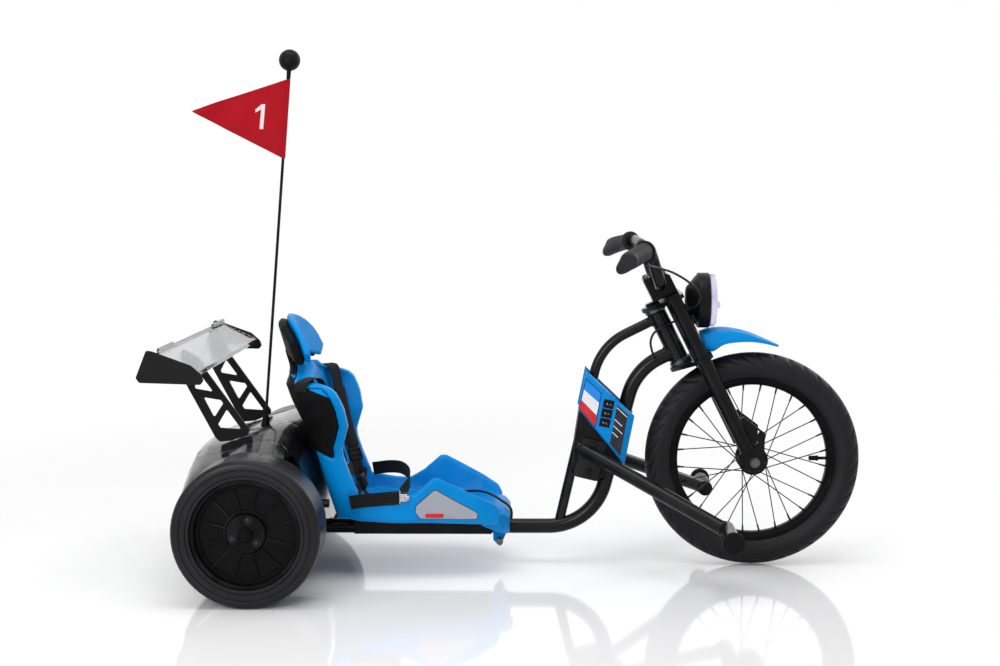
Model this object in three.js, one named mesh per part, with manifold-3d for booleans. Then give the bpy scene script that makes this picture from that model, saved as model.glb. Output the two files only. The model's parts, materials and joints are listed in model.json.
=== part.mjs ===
// Electric drift trike: a raked spoked front wheel, a bucket seat on a single tube frame,
// two wide slick rear wheels, foot pegs, a rear wing and a flag. Millimetres, +Z up,
// +X forward, +Y to the rider's left. The model is worked out with the rear axle at x = 0
// and then shifted so that the origin is at the middle of the footprint.
import * as THREE from 'three';
import { mergeVertices } from 'three/addons/utils/BufferGeometryUtils.js';
import Module from 'manifold-3d';

const wasm = await Module();
wasm.setup();

// General clearances
const fit = 0.3; // gap between pieces that rest on each other
const runGap = 1; // gap beside a piece that turns or slides
const boreGap = 0.4; // radial gap of a turning bore round its shaft
const over = 6; // overrun of a cutting tool
const round = 20; // sides of a turned piece
const smallRound = 12; // sides of a tube or bolt
const cordSides = 8;
const bendStep = THREE.MathUtils.degToRad(15); // largest turn between two stations of a bend

// Wheels
const frontRadius = 203;
const frontTyreSection = 54;
const rimOuter = 155;
const rimInner = 141;
const rimHalfWidth = 18;
const rimCrownHalf = 9;
const hubFlangeRadius = 28;
const hubFlangeAt = 27;
const hubFlangeThick = 3;
const hubBodyRadius = 15;
const hubHalfWidth = 48;
const axleRadius = 5;
const spokeCount = 28;
const spokeRadius = 1.2;
const spokeStagger = 1.6;
const spokeHook = 1.6;
const spokeRimSpread = 4;
const spokeCross = THREE.MathUtils.degToRad(62);
const valveRadius = 4;
const valveLength = 28;
const wheelSides = 36;
const tyreSteps = 8; // stations round the front tyre's section
const rearRadius = 129.5;
const rearWidth = 105;
const trackOverall = 740;
const rearBore = 96;
const rearShoulder = 9;
const rearGrooveRadius = 113;
const rearGrooveHalf = 2;
const barrelWall = 6;
const dishRecess = 24;
const dishThick = 7;
const ribCount = 12;
const ribThick = 3;
const ribHeight = 5;
const ribInner = 32;
const wheelBossRadius = 34;
const wheelBossHeight = 9;
const wheelStepWidth = 5;
const hubCapRadius = 11.5;
const hubCapHeight = 11;
const lugCircle = 24.5;
const lugRadius = 4;
const lugHeight = 3;
const lugCount = 3;

// Frame and steering
const clampFront = 441; // front of the clamp that holds the seat on the main tube
const clampToKnee = 163.6; // from there to the main tube's knee
const kneeToAxle = 301.4; // from the knee to the front axle
const mainKneeX = clampFront + clampToKnee;
const wheelbase = mainKneeX + kneeToAxle;
const rake = THREE.MathUtils.degToRad(26.2);
const forkOffset = 37.4;
const axleLead = 2.5;
const headRadius = 17.5;
const headBore = 14;
const cupHeight = 9;
const cupRadius = 21;
const steererRadius = 12.7;
const lowerCrownAt = 219;
const upperCrownAt = 343;
const crownThick = 8;
const crownHubRadius = 24.5;
const crownLegRadius = 20;
const legHalfSpan = 62;
const legRadius = 14;
const legFoot = 28;
const mainTubeRadius = 14;
const upperTubeRadius = 9.5;
const tubeBend = 110;
const mainTubeZ = 71.5;
const mainTubeRear = 22;
const lowerTubeMeets = 249.3;
const lowerKneeBack = 83.4;
const upperTubeMeets = 319;
const upperKneeBack = 122.5;
const upperFootBack = 66;

// Colours, as sRGB
const blue = 0x0a86dd;
const black = 0x17181b;
const satin = 0x1d1e22;
const rubber = 0x1a1b1e;
const webbing = 0x1c1c20;
const silver = 0xb9bcc2;
const white = 0xe4e6ea;
const red = 0xc81f2b;

const frontCentre = new THREE.Vector3(wheelbase, 0, frontRadius);
const axleOffset = forkOffset + axleLead;
const along = new THREE.Vector3(-Math.sin(rake), 0, Math.cos(rake)); // up the steering axis
const ahead = new THREE.Vector3(Math.cos(rake), 0, Math.sin(rake)); // square to it, forward
const steerFoot = frontCentre.clone().addScaledVector(ahead, -axleOffset);

// A point given ahead of the steering axis, to the left, and up the axis
function steerPoint(forward, left, up) {
  return steerFoot.clone().addScaledVector(ahead, forward).addScaledVector(along, up)
    .add(new THREE.Vector3(0, left, 0));
}

// Turns a shape modelled in steering coordinates into trike coordinates
function raked(geometry) {
  return geometry.rotateY(-rake).translate(steerFoot.x, steerFoot.y, steerFoot.z);
}

// Geometry helpers
function plain(geometry) {
  const bare = geometry.clone();
  for (const name of Object.keys(bare.attributes)) {
    if (name !== 'position') bare.deleteAttribute(name);
  }
  const merged = mergeVertices(bare, fit / 1000);
  const index = [];
  for (let i = 0; i < merged.index.count; i += 3) {
    const [a, b, c] = [0, 1, 2].map((k) => merged.index.getX(i + k));
    if (a !== b && b !== c && a !== c) index.push(a, b, c);
  }
  merged.setIndex(index);
  return merged;
}

// Faces point outwards whichever way the outline was drawn
function outward(geometry) {
  const merged = plain(geometry);
  const p = merged.attributes.position;
  const corner = [0, 1, 2].map(() => new THREE.Vector3());
  let volume = 0;
  for (let i = 0; i < merged.index.count; i += 3) {
    corner.forEach((v, k) => v.fromBufferAttribute(p, merged.index.getX(i + k)));
    volume += corner[0].dot(corner[1].clone().cross(corner[2]));
  }
  if (volume < 0) merged.setIndex(Array.from(merged.index.array).reverse());
  return merged;
}

function toSolid(geometry) {
  const g = outward(geometry);
  return new wasm.Manifold(new wasm.Mesh({
    numProp: 3,
    vertProperties: Float32Array.from(g.attributes.position.array),
    triVerts: Uint32Array.from(g.index.array),
  }));
}

function toGeometry(manifold) {
  const mesh = manifold.getMesh();
  const g = new THREE.BufferGeometry();
  g.setAttribute('position', new THREE.BufferAttribute(Float32Array.from(mesh.vertProperties), 3));
  g.setIndex(Array.from(mesh.triVerts));
  return g;
}

function join(...pieces) {
  return toGeometry(pieces.map(toSolid).reduce((all, next) => all.add(next)));
}

function cut(body, ...tools) {
  return toGeometry(tools.map(toSolid).reduce((all, next) => all.subtract(next), toSolid(body)));
}

function common(body, tool) {
  return toGeometry(toSolid(body).intersect(toSolid(tool)));
}

function mirrored(geometry) {
  return outward(geometry.clone().scale(1, -1, 1));
}

function box(x0, x1, y0, y1, z0, z1) {
  return new THREE.BoxGeometry(x1 - x0, y1 - y0, z1 - z0)
    .translate((x0 + x1) / 2, (y0 + y1) / 2, (z0 + z1) / 2);
}

// A round bar between two points
function bar(from, to, radius, sides = smallRound, endRadius = radius) {
  const line = to.clone().sub(from);
  const g = new THREE.CylinderGeometry(endRadius, radius, line.length(), sides);
  g.applyQuaternion(new THREE.Quaternion().setFromUnitVectors(
    new THREE.Vector3(0, 1, 0), line.clone().normalize()));
  return g.translate(...from.clone().add(to).multiplyScalar(1 / 2).toArray());
}

// A round bar along Y, between two values of y
function crossBar(x, z, y0, y1, radius, sides = smallRound) {
  return bar(new THREE.Vector3(x, y0, z), new THREE.Vector3(x, y1, z), radius, sides);
}

// A turned piece about Y: the outline is pairs of radius and y
function turned(outline, sides = round) {
  const points = outline.map(([r, y]) => new THREE.Vector2(r, y));
  return outward(new THREE.LatheGeometry(points, sides));
}

// A ring about Y: the closed outline stays off the axis
function ring(outline, sides = round) {
  return turned([...outline, outline[0]], sides);
}

// A plate in the XZ plane between two values of y
function plate(shape, y0, y1) {
  const g = new THREE.ExtrudeGeometry(shape, { depth: y1 - y0, bevelEnabled: false, curveSegments: 4 });
  return g.rotateX(Math.PI / 2).translate(0, y1, 0);
}

// A plate in the XY plane between two values of z
function slab(shape, z0, z1) {
  return new THREE.ExtrudeGeometry(shape, { depth: z1 - z0, bevelEnabled: false, curveSegments: 4 })
    .translate(0, 0, z0);
}

const flatEnough = fit * fit; // corners flatter than this are left out of an outline

// The outline that wraps a set of circles, each [x, y, radius], with true round corners
function wrap(circles, arcSteps = 16) {
  const cloud = circles.flatMap(([x, y, r]) => Array.from({ length: arcSteps }, (_, i) => {
    const a = (2 * Math.PI * (i + 1 / 2)) / arcSteps;
    return new THREE.Vector2(x + r * Math.cos(a), y + r * Math.sin(a));
  }));
  cloud.sort((p, q) => p.x - q.x || p.y - q.y);
  const half = (list) => list.reduce((hull, p) => {
    while (hull.length > 1 && hull.at(-1).clone().sub(hull.at(-2))
      .cross(p.clone().sub(hull.at(-2))) <= flatEnough) hull.pop();
    return [...hull, p];
  }, []);
  const lower = half(cloud);
  const upper = half([...cloud].reverse());
  return [...lower.slice(0, -1), ...upper.slice(0, -1)];
}

// A hole whose flats, not its corners, keep to the given radius
function holePath(circles, arcSteps) {
  const grown = circles.map(([x, y, r]) => [x, y, r / Math.cos(Math.PI / arcSteps)]);
  return new THREE.Path(wrap(grown, arcSteps));
}

function wrapShape(circles, holes = [], arcSteps = 16) {
  const shape = new THREE.Shape(wrap(circles, arcSteps));
  for (const hole of holes) shape.holes.push(holePath(hole, smallRound));
  return shape;
}

// A closed skin over sections with the same number of points, capped at both ends
function loft(sections) {
  const count = sections[0].length;
  const position = sections.flat().flatMap((p) => [p.x, p.y, p.z]);
  const index = [];
  for (let s = 0; s + 1 < sections.length; s += 1) {
    for (let i = 0; i < count; i += 1) {
      const [a, b] = [s * count + i, s * count + ((i + 1) % count)];
      index.push(a, b, a + count, b, b + count, a + count);
    }
  }
  const cap = (section, base, flip) => {
    const normal = new THREE.Vector3();
    section.forEach((p, i) => normal.add(p.clone().cross(section[(i + 1) % count])));
    const turn = new THREE.Quaternion().setFromUnitVectors(normal.normalize(), new THREE.Vector3(0, 0, 1));
    const flat = section.map((p) => p.clone().applyQuaternion(turn)).map((p) => new THREE.Vector2(p.x, p.y));
    for (const [a, b, c] of THREE.ShapeUtils.triangulateShape(flat, [])) {
      index.push(...(flip ? [base + c, base + b, base + a] : [base + a, base + b, base + c]));
    }
  };
  cap(sections[0], 0, true);
  cap(sections.at(-1), (sections.length - 1) * count, false);
  const g = new THREE.BufferGeometry();
  g.setAttribute('position', new THREE.Float32BufferAttribute(position, 3));
  g.setIndex(index);
  return outward(g);
}

// A path that is sampled only at its own stations, each a point with the way it runs
class StationPath extends THREE.Curve {
  constructor(stations) {
    super();
    this.stations = stations;
    this.steps = stations.length - 1;
  }

  getPointAt(share) {
    return this.stations[Math.round(share * this.steps)].point.clone();
  }

  getTangentAt(share) {
    return this.stations[Math.round(share * this.steps)].way.clone();
  }
}

// Straight legs with true round bends: corners and one bend radius for each
function bentPath(corners, bends) {
  const stations = [];
  const first = corners[1].clone().sub(corners[0]).normalize();
  stations.push({ point: corners[0].clone(), way: first });
  for (let i = 1; i + 1 < corners.length; i += 1) {
    const into = corners[i].clone().sub(corners[i - 1]).normalize();
    const out = corners[i + 1].clone().sub(corners[i]).normalize();
    const turn = into.angleTo(out);
    const start = corners[i].clone().addScaledVector(into, -bends[i - 1] * Math.tan(turn / 2));
    const side = out.clone().addScaledVector(into, -out.dot(into)).normalize();
    const steps = Math.max(2, Math.ceil(turn / bendStep));
    for (let k = 0; k <= steps; k += 1) {
      const a = (turn * k) / steps;
      stations.push({
        point: start.clone().addScaledVector(into, bends[i - 1] * Math.sin(a))
          .addScaledVector(side, bends[i - 1] * (1 - Math.cos(a))),
        way: into.clone().multiplyScalar(Math.cos(a)).addScaledVector(side, Math.sin(a)),
      });
    }
  }
  const end = corners.at(-1);
  stations.push({ point: end.clone(), way: end.clone().sub(corners.at(-2)).normalize() });
  return new StationPath(stations);
}

// A cord's route through its points, as a smooth curve
function cordPath(points, stepsEach) {
  const curve = new THREE.CatmullRomCurve3(points.map((p) => new THREE.Vector3(...p)));
  const steps = (points.length - 1) * stepsEach;
  return new StationPath(Array.from({ length: steps + 1 }, (_, i) => (
    { point: curve.getPoint(i / steps), way: curve.getTangent(i / steps) })));
}

// A round tube or cord along a path
function tube(path, radius, sides = smallRound) {
  const shape = new THREE.Shape(Array.from({ length: sides }, (_, i) => {
    const a = (2 * Math.PI * i) / sides;
    return new THREE.Vector2(radius * Math.cos(a), radius * Math.sin(a));
  }));
  const settings = { steps: path.steps, bevelEnabled: false, extrudePath: path };
  return outward(new THREE.ExtrudeGeometry(shape, settings));
}

// A flat strap along points, each [x, y, z, across direction], with its width and thickness
function ribbon(points, width, thick) {
  return loft(points.map(([x, y, z, across], i) => {
    const before = points[Math.max(i - 1, 0)];
    const after = points[Math.min(i + 1, points.length - 1)];
    const way = new THREE.Vector3(after[0] - before[0], after[1] - before[1], after[2] - before[2]);
    const side = across.clone().addScaledVector(way, -across.dot(way) / way.lengthSq()).normalize();
    const up = way.normalize().cross(side);
    return [[-1, -1], [1, -1], [1, 1], [-1, 1]].map(([u, v]) => new THREE.Vector3(x, y, z)
      .addScaledVector(side, (u * width) / 2).addScaledVector(up, (v * thick) / 2));
  }));
}

const trike = new THREE.Group();
const built = new THREE.Group();
trike.add(built);

function part(name, geometry, color, roughness, metalness = 0, extra = {}) {
  const material = new THREE.MeshStandardMaterial({ color, roughness, metalness, ...extra });
  const mesh = new THREE.Mesh(geometry, material);
  mesh.name = name;
  built.add(mesh);
  return mesh;
}

// Front wheel
function frontTyre() {
  const section = frontTyreSection / 2;
  const middle = frontRadius - section;
  const seat = Math.acos((rimOuter + fit - middle) / section);
  const outline = Array.from({ length: tyreSteps + 1 }, (_, i) => {
    const a = -seat + (2 * seat * i) / tyreSteps;
    return [middle + section * Math.cos(a), section * Math.sin(a)];
  });
  return ring(outline, wheelSides).translate(...frontCentre.toArray());
}

function frontRim() {
  const rim = ring([[rimOuter, -rimHalfWidth], [rimOuter, rimHalfWidth],
    [rimOuter - (rimOuter - rimInner) / 3, rimHalfWidth], [rimInner, rimCrownHalf],
    [rimInner, -rimCrownHalf], [rimOuter - (rimOuter - rimInner) / 3, -rimHalfWidth]], wheelSides);
  const inside = (rimInner + rimOuter) / 2;
  const valve = bar(new THREE.Vector3(inside, 0, 0), new THREE.Vector3(rimInner - valveLength, 0, 0),
    valveRadius, smallRound - 4);
  return join(rim, valve).translate(...frontCentre.toArray());
}

function frontHub() {
  const inner = hubFlangeAt - hubFlangeThick / 2;
  const outer = hubFlangeAt + hubFlangeThick / 2;
  const bore = axleRadius + boreGap;
  const half = [[hubBodyRadius, inner], [hubFlangeRadius, inner], [hubFlangeRadius, outer],
    [hubBodyRadius, outer], [hubBodyRadius - hubFlangeThick, hubHalfWidth], [bore, hubHalfWidth]];
  const other = half.map(([r, y]) => [r, -y]).reverse();
  return ring([...other, ...half]);
}

// Spokes cross in pairs: the leading ones run inside their flange and the trailing ones outside
function frontSpokes() {
  const start = hubFlangeRadius - hubFlangeThick * 2;
  const end = rimInner - runGap;
  const pitch = (2 * Math.PI) / spokeCount;
  return Array.from({ length: spokeCount }, (_, i) => {
    const side = i % 2 ? 1 : -1;
    const lead = Math.floor(i / 2) % 2 ? 1 : -1;
    const rimAngle = pitch * (i + 1 / 2);
    const hubAngle = rimAngle + lead * spokeCross;
    const point = (r, angle, y) => new THREE.Vector3(r * Math.cos(angle), y, r * Math.sin(angle));
    return bar(point(start, hubAngle, side * (hubFlangeAt + lead * spokeHook)),
      point(end, rimAngle, side * (spokeRimSpread + lead * spokeStagger)), spokeRadius, 5);
  });
}

part('front_tyre', frontTyre(), rubber, 0.75);
part('front_rim', frontRim(), satin, 0.35, 0.6);
part('front_hub', join(frontHub(), ...frontSpokes()).translate(...frontCentre.toArray()), satin, 0.35, 0.6);

// Rear wheels: a wide slick tyre on a deep dished wheel with twelve ribs
const rearAxleZ = rearRadius * Math.cos(Math.PI / wheelSides);
const wheelMiddle = (trackOverall - rearWidth) / 2;

function rearTyre() {
  const half = rearWidth / 2;
  const soft = rearShoulder / 3;
  const side = (sign) => [[rearRadius, sign * (half - rearShoulder)],
    [rearRadius - soft, sign * (half - soft)], [rearRadius - rearShoulder, sign * half]];
  const groove = [[rearGrooveRadius + rearGrooveHalf, half],
    [rearGrooveRadius, half - rearGrooveHalf], [rearGrooveRadius - rearGrooveHalf, half]];
  const outline = [...side(-1).reverse(), ...side(1), ...groove,
    [rearBore, half], [rearBore, -half]];
  return ring(outline, wheelSides).rotateY(Math.PI / wheelSides);
}

const axleShaftRadius = 7.5;
function rearWheel() {
  const half = rearWidth / 2;
  const barrel = rearBore - fit;
  const face = half - dishRecess;
  const bore = axleShaftRadius + boreGap;
  const inner = barrel - barrelWall;
  const body = turned([[0, face + wheelBossHeight], [wheelBossRadius, face + wheelBossHeight],
    [wheelBossRadius, face], [inner - wheelStepWidth, face],
    [inner - wheelStepWidth, face + wheelStepWidth], [inner, face + wheelStepWidth],
    [inner, half - wheelStepWidth], [barrel, half - wheelStepWidth], [barrel, -half + wheelStepWidth],
    [inner, -half + wheelStepWidth], [inner, face - dishThick], [wheelBossRadius, face - dishThick],
    [wheelBossRadius, 0], [bore, 0], [bore, face], [0, face]], wheelSides).rotateY(Math.PI / wheelSides);
  const ribs = Array.from({ length: ribCount }, (_, i) => box(ribInner, inner - wheelStepWidth / 2,
    face - ribThick / 2, face + ribHeight, -ribThick / 2, ribThick / 2)
    .rotateY((2 * Math.PI * (i + 1 / 2)) / ribCount));
  const top = face + wheelBossHeight;
  const lugFoot = new THREE.Vector3(lugCircle, top - lugHeight, 0);
  const lugTop = new THREE.Vector3(lugCircle, top + lugHeight, 0);
  const lugs = Array.from({ length: lugCount }, (_, i) => bar(lugFoot, lugTop, lugRadius, 6)
    .rotateY((2 * Math.PI * (i + 1 / 3)) / lugCount));
  const cap = turned([[0, top - lugHeight], [hubCapRadius, top - lugHeight],
    [hubCapRadius, top + hubCapHeight - lugHeight], [hubCapRadius - lugHeight, top + hubCapHeight],
    [0, top + hubCapHeight]], smallRound + 4);
  return join(body, ...ribs, ...lugs, cap);
}

function atWheel(geometry, sign) {
  const turnedOut = sign > 0 ? geometry.clone() : mirrored(geometry);
  return turnedOut.translate(0, sign * wheelMiddle, rearAxleZ);
}

const sides = [['left', 1], ['right', -1]];
const tyreShape = rearTyre();
const wheelShape = rearWheel();
for (const [side, sign] of sides) {
  part(`rear_tyre_${side}`, atWheel(tyreShape, sign), rubber, 0.6);
  part(`rear_wheel_${side}`, atWheel(wheelShape, sign), black, 0.45);
}

// Fork: triple crowns, legs with dropout plates, axle
const stackTop = upperCrownAt + crownThick / 2;
const legTop = stackTop + crownThick / 2;
const nutHeight = 5;
const nutRadius = 15;

function crownShape(steererHole) {
  const legs = [-1, 1].map((s) => [forkOffset, s * legHalfSpan, crownLegRadius]);
  const holes = [-1, 1].map((s) => [[forkOffset, s * legHalfSpan, legRadius + fit]]);
  if (steererHole) holes.push([[0, 0, steererRadius + fit]]);
  const shape = new THREE.Shape(wrap([[0, 0, crownHubRadius], ...legs], round));
  for (const hole of holes) shape.holes.push(holePath(hole, round));
  return shape;
}

function steerBar(forward, left, u0, u1, radius, sidesCount = round) {
  return new THREE.CylinderGeometry(radius, radius, u1 - u0, sidesCount).rotateX(Math.PI / 2)
    .translate(forward, left, (u0 + u1) / 2);
}

function forkSteerer() {
  const crown = slab(crownShape(false), lowerCrownAt - crownThick / 2, lowerCrownAt + crownThick / 2);
  const stem = steerBar(0, 0, lowerCrownAt, stackTop + nutHeight / 2, steererRadius);
  const nut = steerBar(0, 0, stackTop + fit, stackTop + nutHeight, nutRadius, 6);
  return raked(join(crown, stem, nut));
}

function upperCrown() {
  return raked(slab(crownShape(true), upperCrownAt - crownThick / 2, stackTop));
}

const dropoutThick = 5;
const dropoutInner = 50.5;
const axleBossRadius = 17;
const dropoutReach = 38;
const dropoutRise = 42;
const dropoutTop = 84;
const dropoutTopReach = 17;
const finRadius = 3;
const slotRadius = 3;
const discHoles = [[19, 33], [30, 50]];

function forkLeg() {
  const leg = steerBar(forkOffset, legHalfSpan, legFoot, legTop, legRadius, 20);
  const fin = wrapShape([[axleOffset, 0, axleBossRadius], [axleOffset + dropoutReach, dropoutRise, finRadius],
    [axleOffset + dropoutTopReach, dropoutTop, finRadius], [forkOffset, dropoutTop - finRadius, finRadius]],
  [[[axleOffset, 0, axleRadius + fit]],
    ...discHoles.map(([t, u]) => [[axleOffset + t, u, slotRadius]])], round);
  const blade = plate(fin, dropoutInner, dropoutInner + dropoutThick);
  return raked(join(leg, blade));
}

const axleNutRadius = 9;
const axleNutThick = 8;
function frontAxle() {
  const half = dropoutInner + dropoutThick;
  const y = frontCentre;
  const rod = crossBar(y.x, y.z, -half - axleNutThick, half + axleNutThick, axleRadius, 16);
  const nuts = [-1, 1].map((s) => crossBar(y.x, y.z, s * (half + fit), s * (half + axleNutThick - fit),
    axleNutRadius, 6));
  return join(rod, ...nuts);
}

part('fork_steerer', forkSteerer(), satin, 0.4, 0.5);
part('fork_crown_upper', upperCrown(), satin, 0.4, 0.5);
const legShape = forkLeg();
part('fork_leg_left', legShape, satin, 0.35, 0.5);
part('fork_leg_right', mirrored(legShape), satin, 0.35, 0.5);
part('front_axle', frontAxle(), silver, 0.35, 0.9);

// Frame tubes
const headLow = lowerCrownAt + crownThick / 2 + runGap / 2 + cupHeight + fit;
const headHigh = upperCrownAt - crownThick / 2 - runGap / 2 - cupHeight - fit;

function headTube() {
  const wall = ring([[headBore, headLow], [headRadius, headLow], [headRadius, headHigh], [headBore, headHigh]]);
  return raked(wall.rotateX(Math.PI / 2));
}

// A bearing cup that starts at the head tube's end and goes up or down from it
function bearingCup(start, sign) {
  const bore = steererRadius + boreGap;
  const end = start + sign * cupHeight;
  const step = start + sign * cupHeight / 3;
  return raked(ring([[bore, start], [headRadius, start], [cupRadius, step], [cupRadius, end], [bore, end]])
    .rotateX(Math.PI / 2));
}

function headTool(radius) {
  return raked(steerBar(0, 0, headLow - over, headHigh + over, radius));
}

const mainPath = bentPath([
  new THREE.Vector3(mainTubeRear, 0, mainTubeZ),
  new THREE.Vector3(mainKneeX, 0, mainTubeZ),
  steerPoint(-lowerKneeBack, 0, lowerTubeMeets),
  steerPoint(0, 0, lowerTubeMeets),
], [tubeBend, tubeBend]);
const upperPath = bentPath([
  new THREE.Vector3(mainKneeX - upperFootBack, 0, mainTubeZ),
  steerPoint(-upperKneeBack, 0, upperTubeMeets),
  steerPoint(0, 0, upperTubeMeets),
], [tubeBend]);

function mainTube() {
  return cut(tube(mainPath, mainTubeRadius), headTool(headRadius + fit));
}

function upperTube() {
  const under = tube(mainPath, mainTubeRadius + fit);
  return cut(tube(upperPath, upperTubeRadius, 10), headTool(headRadius + fit), under);
}

part('head_tube', headTube(), satin, 0.4, 0.5);
part('headset_cup_upper', bearingCup(headHigh + fit, 1), silver, 0.35, 0.9);
part('headset_cup_lower', bearingCup(headLow - fit, -1), silver, 0.35, 0.9);
part('main_tube', mainTube(), satin, 0.4, 0.5);
part('upper_tube', upperTube(), satin, 0.4, 0.5);

// Control box between the frame tubes, its blue side panels and their buttons
const panelLean = THREE.MathUtils.degToRad(11.5);
const panelFootBack = 28.6;
const panelFootZ = 303;
const panelRear = 74;
const panelFront = 95;
const panelWidth = 91;
const panelDrop = 87;
const panelInner = 30;
const panelDepth = 14;
const panelBevel = 2.5;
const panelNose = 11;
const boxInset = 3;
const boxLow = 163;
const boxBack = 38.6;
const boxAhead = 37.4;
const panelFoot = new THREE.Vector2(mainKneeX - panelFootBack, panelFootZ);

const leanUp = new THREE.Vector2(Math.sin(panelLean), Math.cos(panelLean));
const panelCorners = (() => {
  const bottomRear = panelFoot.clone();
  const topRear = bottomRear.clone().addScaledVector(leanUp, panelRear);
  const topFront = topRear.clone().add(new THREE.Vector2(panelWidth, -panelDrop));
  const bottomFront = topFront.clone().addScaledVector(leanUp, -panelFront);
  return [bottomRear, bottomFront, topFront, topRear];
})();

// Moves the sides of the panel's outline inwards, the front one by its own amount
function panelOutline(inset, frontInset, y) {
  const amounts = [inset, frontInset, inset, inset];
  return panelCorners.map((p, i) => {
    const before = panelCorners[(i + 3) % 4];
    const after = panelCorners[(i + 1) % 4];
    const into = p.clone().sub(before).normalize();
    const out = after.clone().sub(p).normalize();
    const sine = into.cross(out);
    return new THREE.Vector3(
      p.x - (into.x * amounts[i]) / sine + (out.x * amounts[(i + 3) % 4]) / sine, y,
      p.y - (into.y * amounts[i]) / sine + (out.y * amounts[(i + 3) % 4]) / sine);
  });
}

const buttonWide = 19;
const buttonTall = 15;
const buttonAhead = 57;
const buttonRise = 9;
const buttonFirst = panelFoot.clone().add(new THREE.Vector2(buttonAhead, buttonRise));
const buttonTravel = 2;
const buttonDepth = 9;
const buttonProud = 1.5;
const buttonPitch = 17.9;
const buttonNames = ['button_power', 'button_lights', 'button_horn'];

function buttonBlock(i, grow, y0, y1) {
  const at = buttonFirst.clone().addScaledVector(leanUp, -i * buttonPitch);
  const [across, up] = [buttonWide / 2 + grow, buttonTall / 2 + grow];
  return box(-across, across, y0, y1, -up, up).rotateY(panelLean).translate(at.x, 0, at.y);
}

function sidePanel(withButtons) {
  const outer = panelInner + panelDepth;
  const shell = loft([panelOutline(0, 0, panelInner + fit),
    panelOutline(0, 0, outer - panelNose / 2), panelOutline(panelBevel, panelNose, outer)]);
  if (!withButtons) return shell;
  const wells = buttonNames.map((_, i) => buttonBlock(i, fit,
    outer - buttonDepth - buttonTravel - fit, outer + over));
  return cut(shell, ...wells);
}

const plateWidth = 47;
const plateHeight = 76;
const plateThick = 5;
const plateCorner = 4;
const plateFootBack = 37.6;
const plateFootZ = 174;
const plateFoot = new THREE.Vector2(mainKneeX - plateFootBack, plateFootZ);
const plateFall = THREE.MathUtils.degToRad(13.5);

function platePoint(across, up) {
  return new THREE.Vector2(
    plateFoot.x + across * Math.cos(plateFall) + up * Math.sin(plateFall),
    plateFoot.y - across * Math.sin(plateFall) + up * Math.cos(plateFall));
}

function controlBox() {
  const [bottomRear, bottomFront, topFront, topRear] = panelOutline(boxInset, boxInset, 0)
    .map((p) => new THREE.Vector2(p.x, p.z));
  const footRear = platePoint(0, 0);
  const footFront = platePoint(plateWidth, 0);
  const frontLow = new THREE.Vector2(mainKneeX + boxAhead, boxLow + plateWidth / 2);
  const rearHigh = new THREE.Vector2(mainKneeX - boxBack + boxInset, boxLow + plateHeight);
  const shape = new THREE.Shape([footRear, footFront, frontLow, bottomFront, topFront, topRear, bottomRear, rearHigh]);
  const block = plate(shape, -panelInner, panelInner);
  return cut(block, tube(mainPath, mainTubeRadius + fit), tube(upperPath, upperTubeRadius + fit, 10));
}

part('control_box', controlBox(), black, 0.5);
part('control_panel_left', sidePanel(false), blue, 0.3);
part('control_panel_right', mirrored(sidePanel(true)), blue, 0.3);
buttonNames.forEach((name, i) => {
  const outer = panelInner + panelDepth;
  part(name, mirrored(buttonBlock(i, 0, outer - buttonDepth, outer + buttonProud)), black, 0.4);
});

// Foot pegs: a plate bolted to the box, a splayed arm and a cross tube with an end cap
const armRadius = 13;
const armRootBack = 8.6;
const armRootZ = 219;
const pegReach = 242;
const armSpread = 183;
const armFall = 112;
const armRoot = new THREE.Vector3(mainKneeX - armRootBack, panelInner + plateThick, armRootZ);
const armTip = armRoot.clone().add(new THREE.Vector3(pegReach, armSpread, -armFall));
const pegRadius = 15;
const pegInner = 200;
const pegOuter = 317;
const pegCapRadius = 20;
const pegCapThick = 11;
const capEdge = 1.5;

function pegArm() {
  const corners = [[plateCorner, plateCorner], [plateWidth - plateCorner, plateCorner],
    [plateWidth - plateCorner, plateHeight - plateCorner], [plateCorner, plateHeight - plateCorner]];
  const outline = wrapShape(corners.map(([a, u]) => {
    const p = platePoint(a, u);
    return [p.x, p.y, plateCorner];
  }));
  const flange = plate(outline, panelInner + fit, panelInner + fit + plateThick);
  const arm = bar(armRoot, armTip, armRadius);
  const peg = crossBar(armTip.x, armTip.z, pegInner, pegOuter, pegRadius, round);
  const room = armRadius * 2;
  const inside = box(armRoot.x - room, armRoot.x + room, -over, panelInner + fit,
    armRoot.z - room, armRoot.z + room);
  return cut(join(flange, arm, peg), inside);
}

function pegCap() {
  return turned([[0, pegOuter + fit], [pegCapRadius - capEdge * 2, pegOuter + fit],
    [pegCapRadius, pegOuter + fit + capEdge * 2], [pegCapRadius, pegOuter + pegCapThick - capEdge],
    [pegCapRadius - capEdge, pegOuter + pegCapThick], [0, pegOuter + pegCapThick]])
    .translate(armTip.x, 0, armTip.z);
}

const armShape = pegArm();
part('peg_arm_left', armShape, satin, 0.3, 0.5);
part('peg_arm_right', mirrored(armShape), satin, 0.3, 0.5);
const capShape = pegCap();
part('peg_cap_left', capShape, black, 0.5);
part('peg_cap_right', mirrored(capShape), black, 0.5);

// Rear frame, axle and drive
const rearPlateThick = 5;
const crossTubeRadius = 12;
const carrierRadius = 22;
const stayRadius = 8;
const stayInset = 32;
const stayBend = 60;
const stayFront = 115;
const stayZ = 137;
const gearboxGap = 3; // from the gearbox's spigot to the tyre's inner wall
const gearboxWidth = 94;
const gearboxToPlate = 13;
const gearboxRadius = 52;
const motorRadius = 30;
const motorReach = 58;
const motorLength = 70;
const tyreInnerAt = wheelMiddle - rearWidth / 2;
const gearboxOuter = tyreInnerAt - gearboxGap;
const gearboxInner = gearboxOuter - gearboxWidth;
const rearPlateAt = gearboxInner - gearboxToPlate - rearPlateThick;
const stayAt = rearPlateAt - stayInset;

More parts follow.
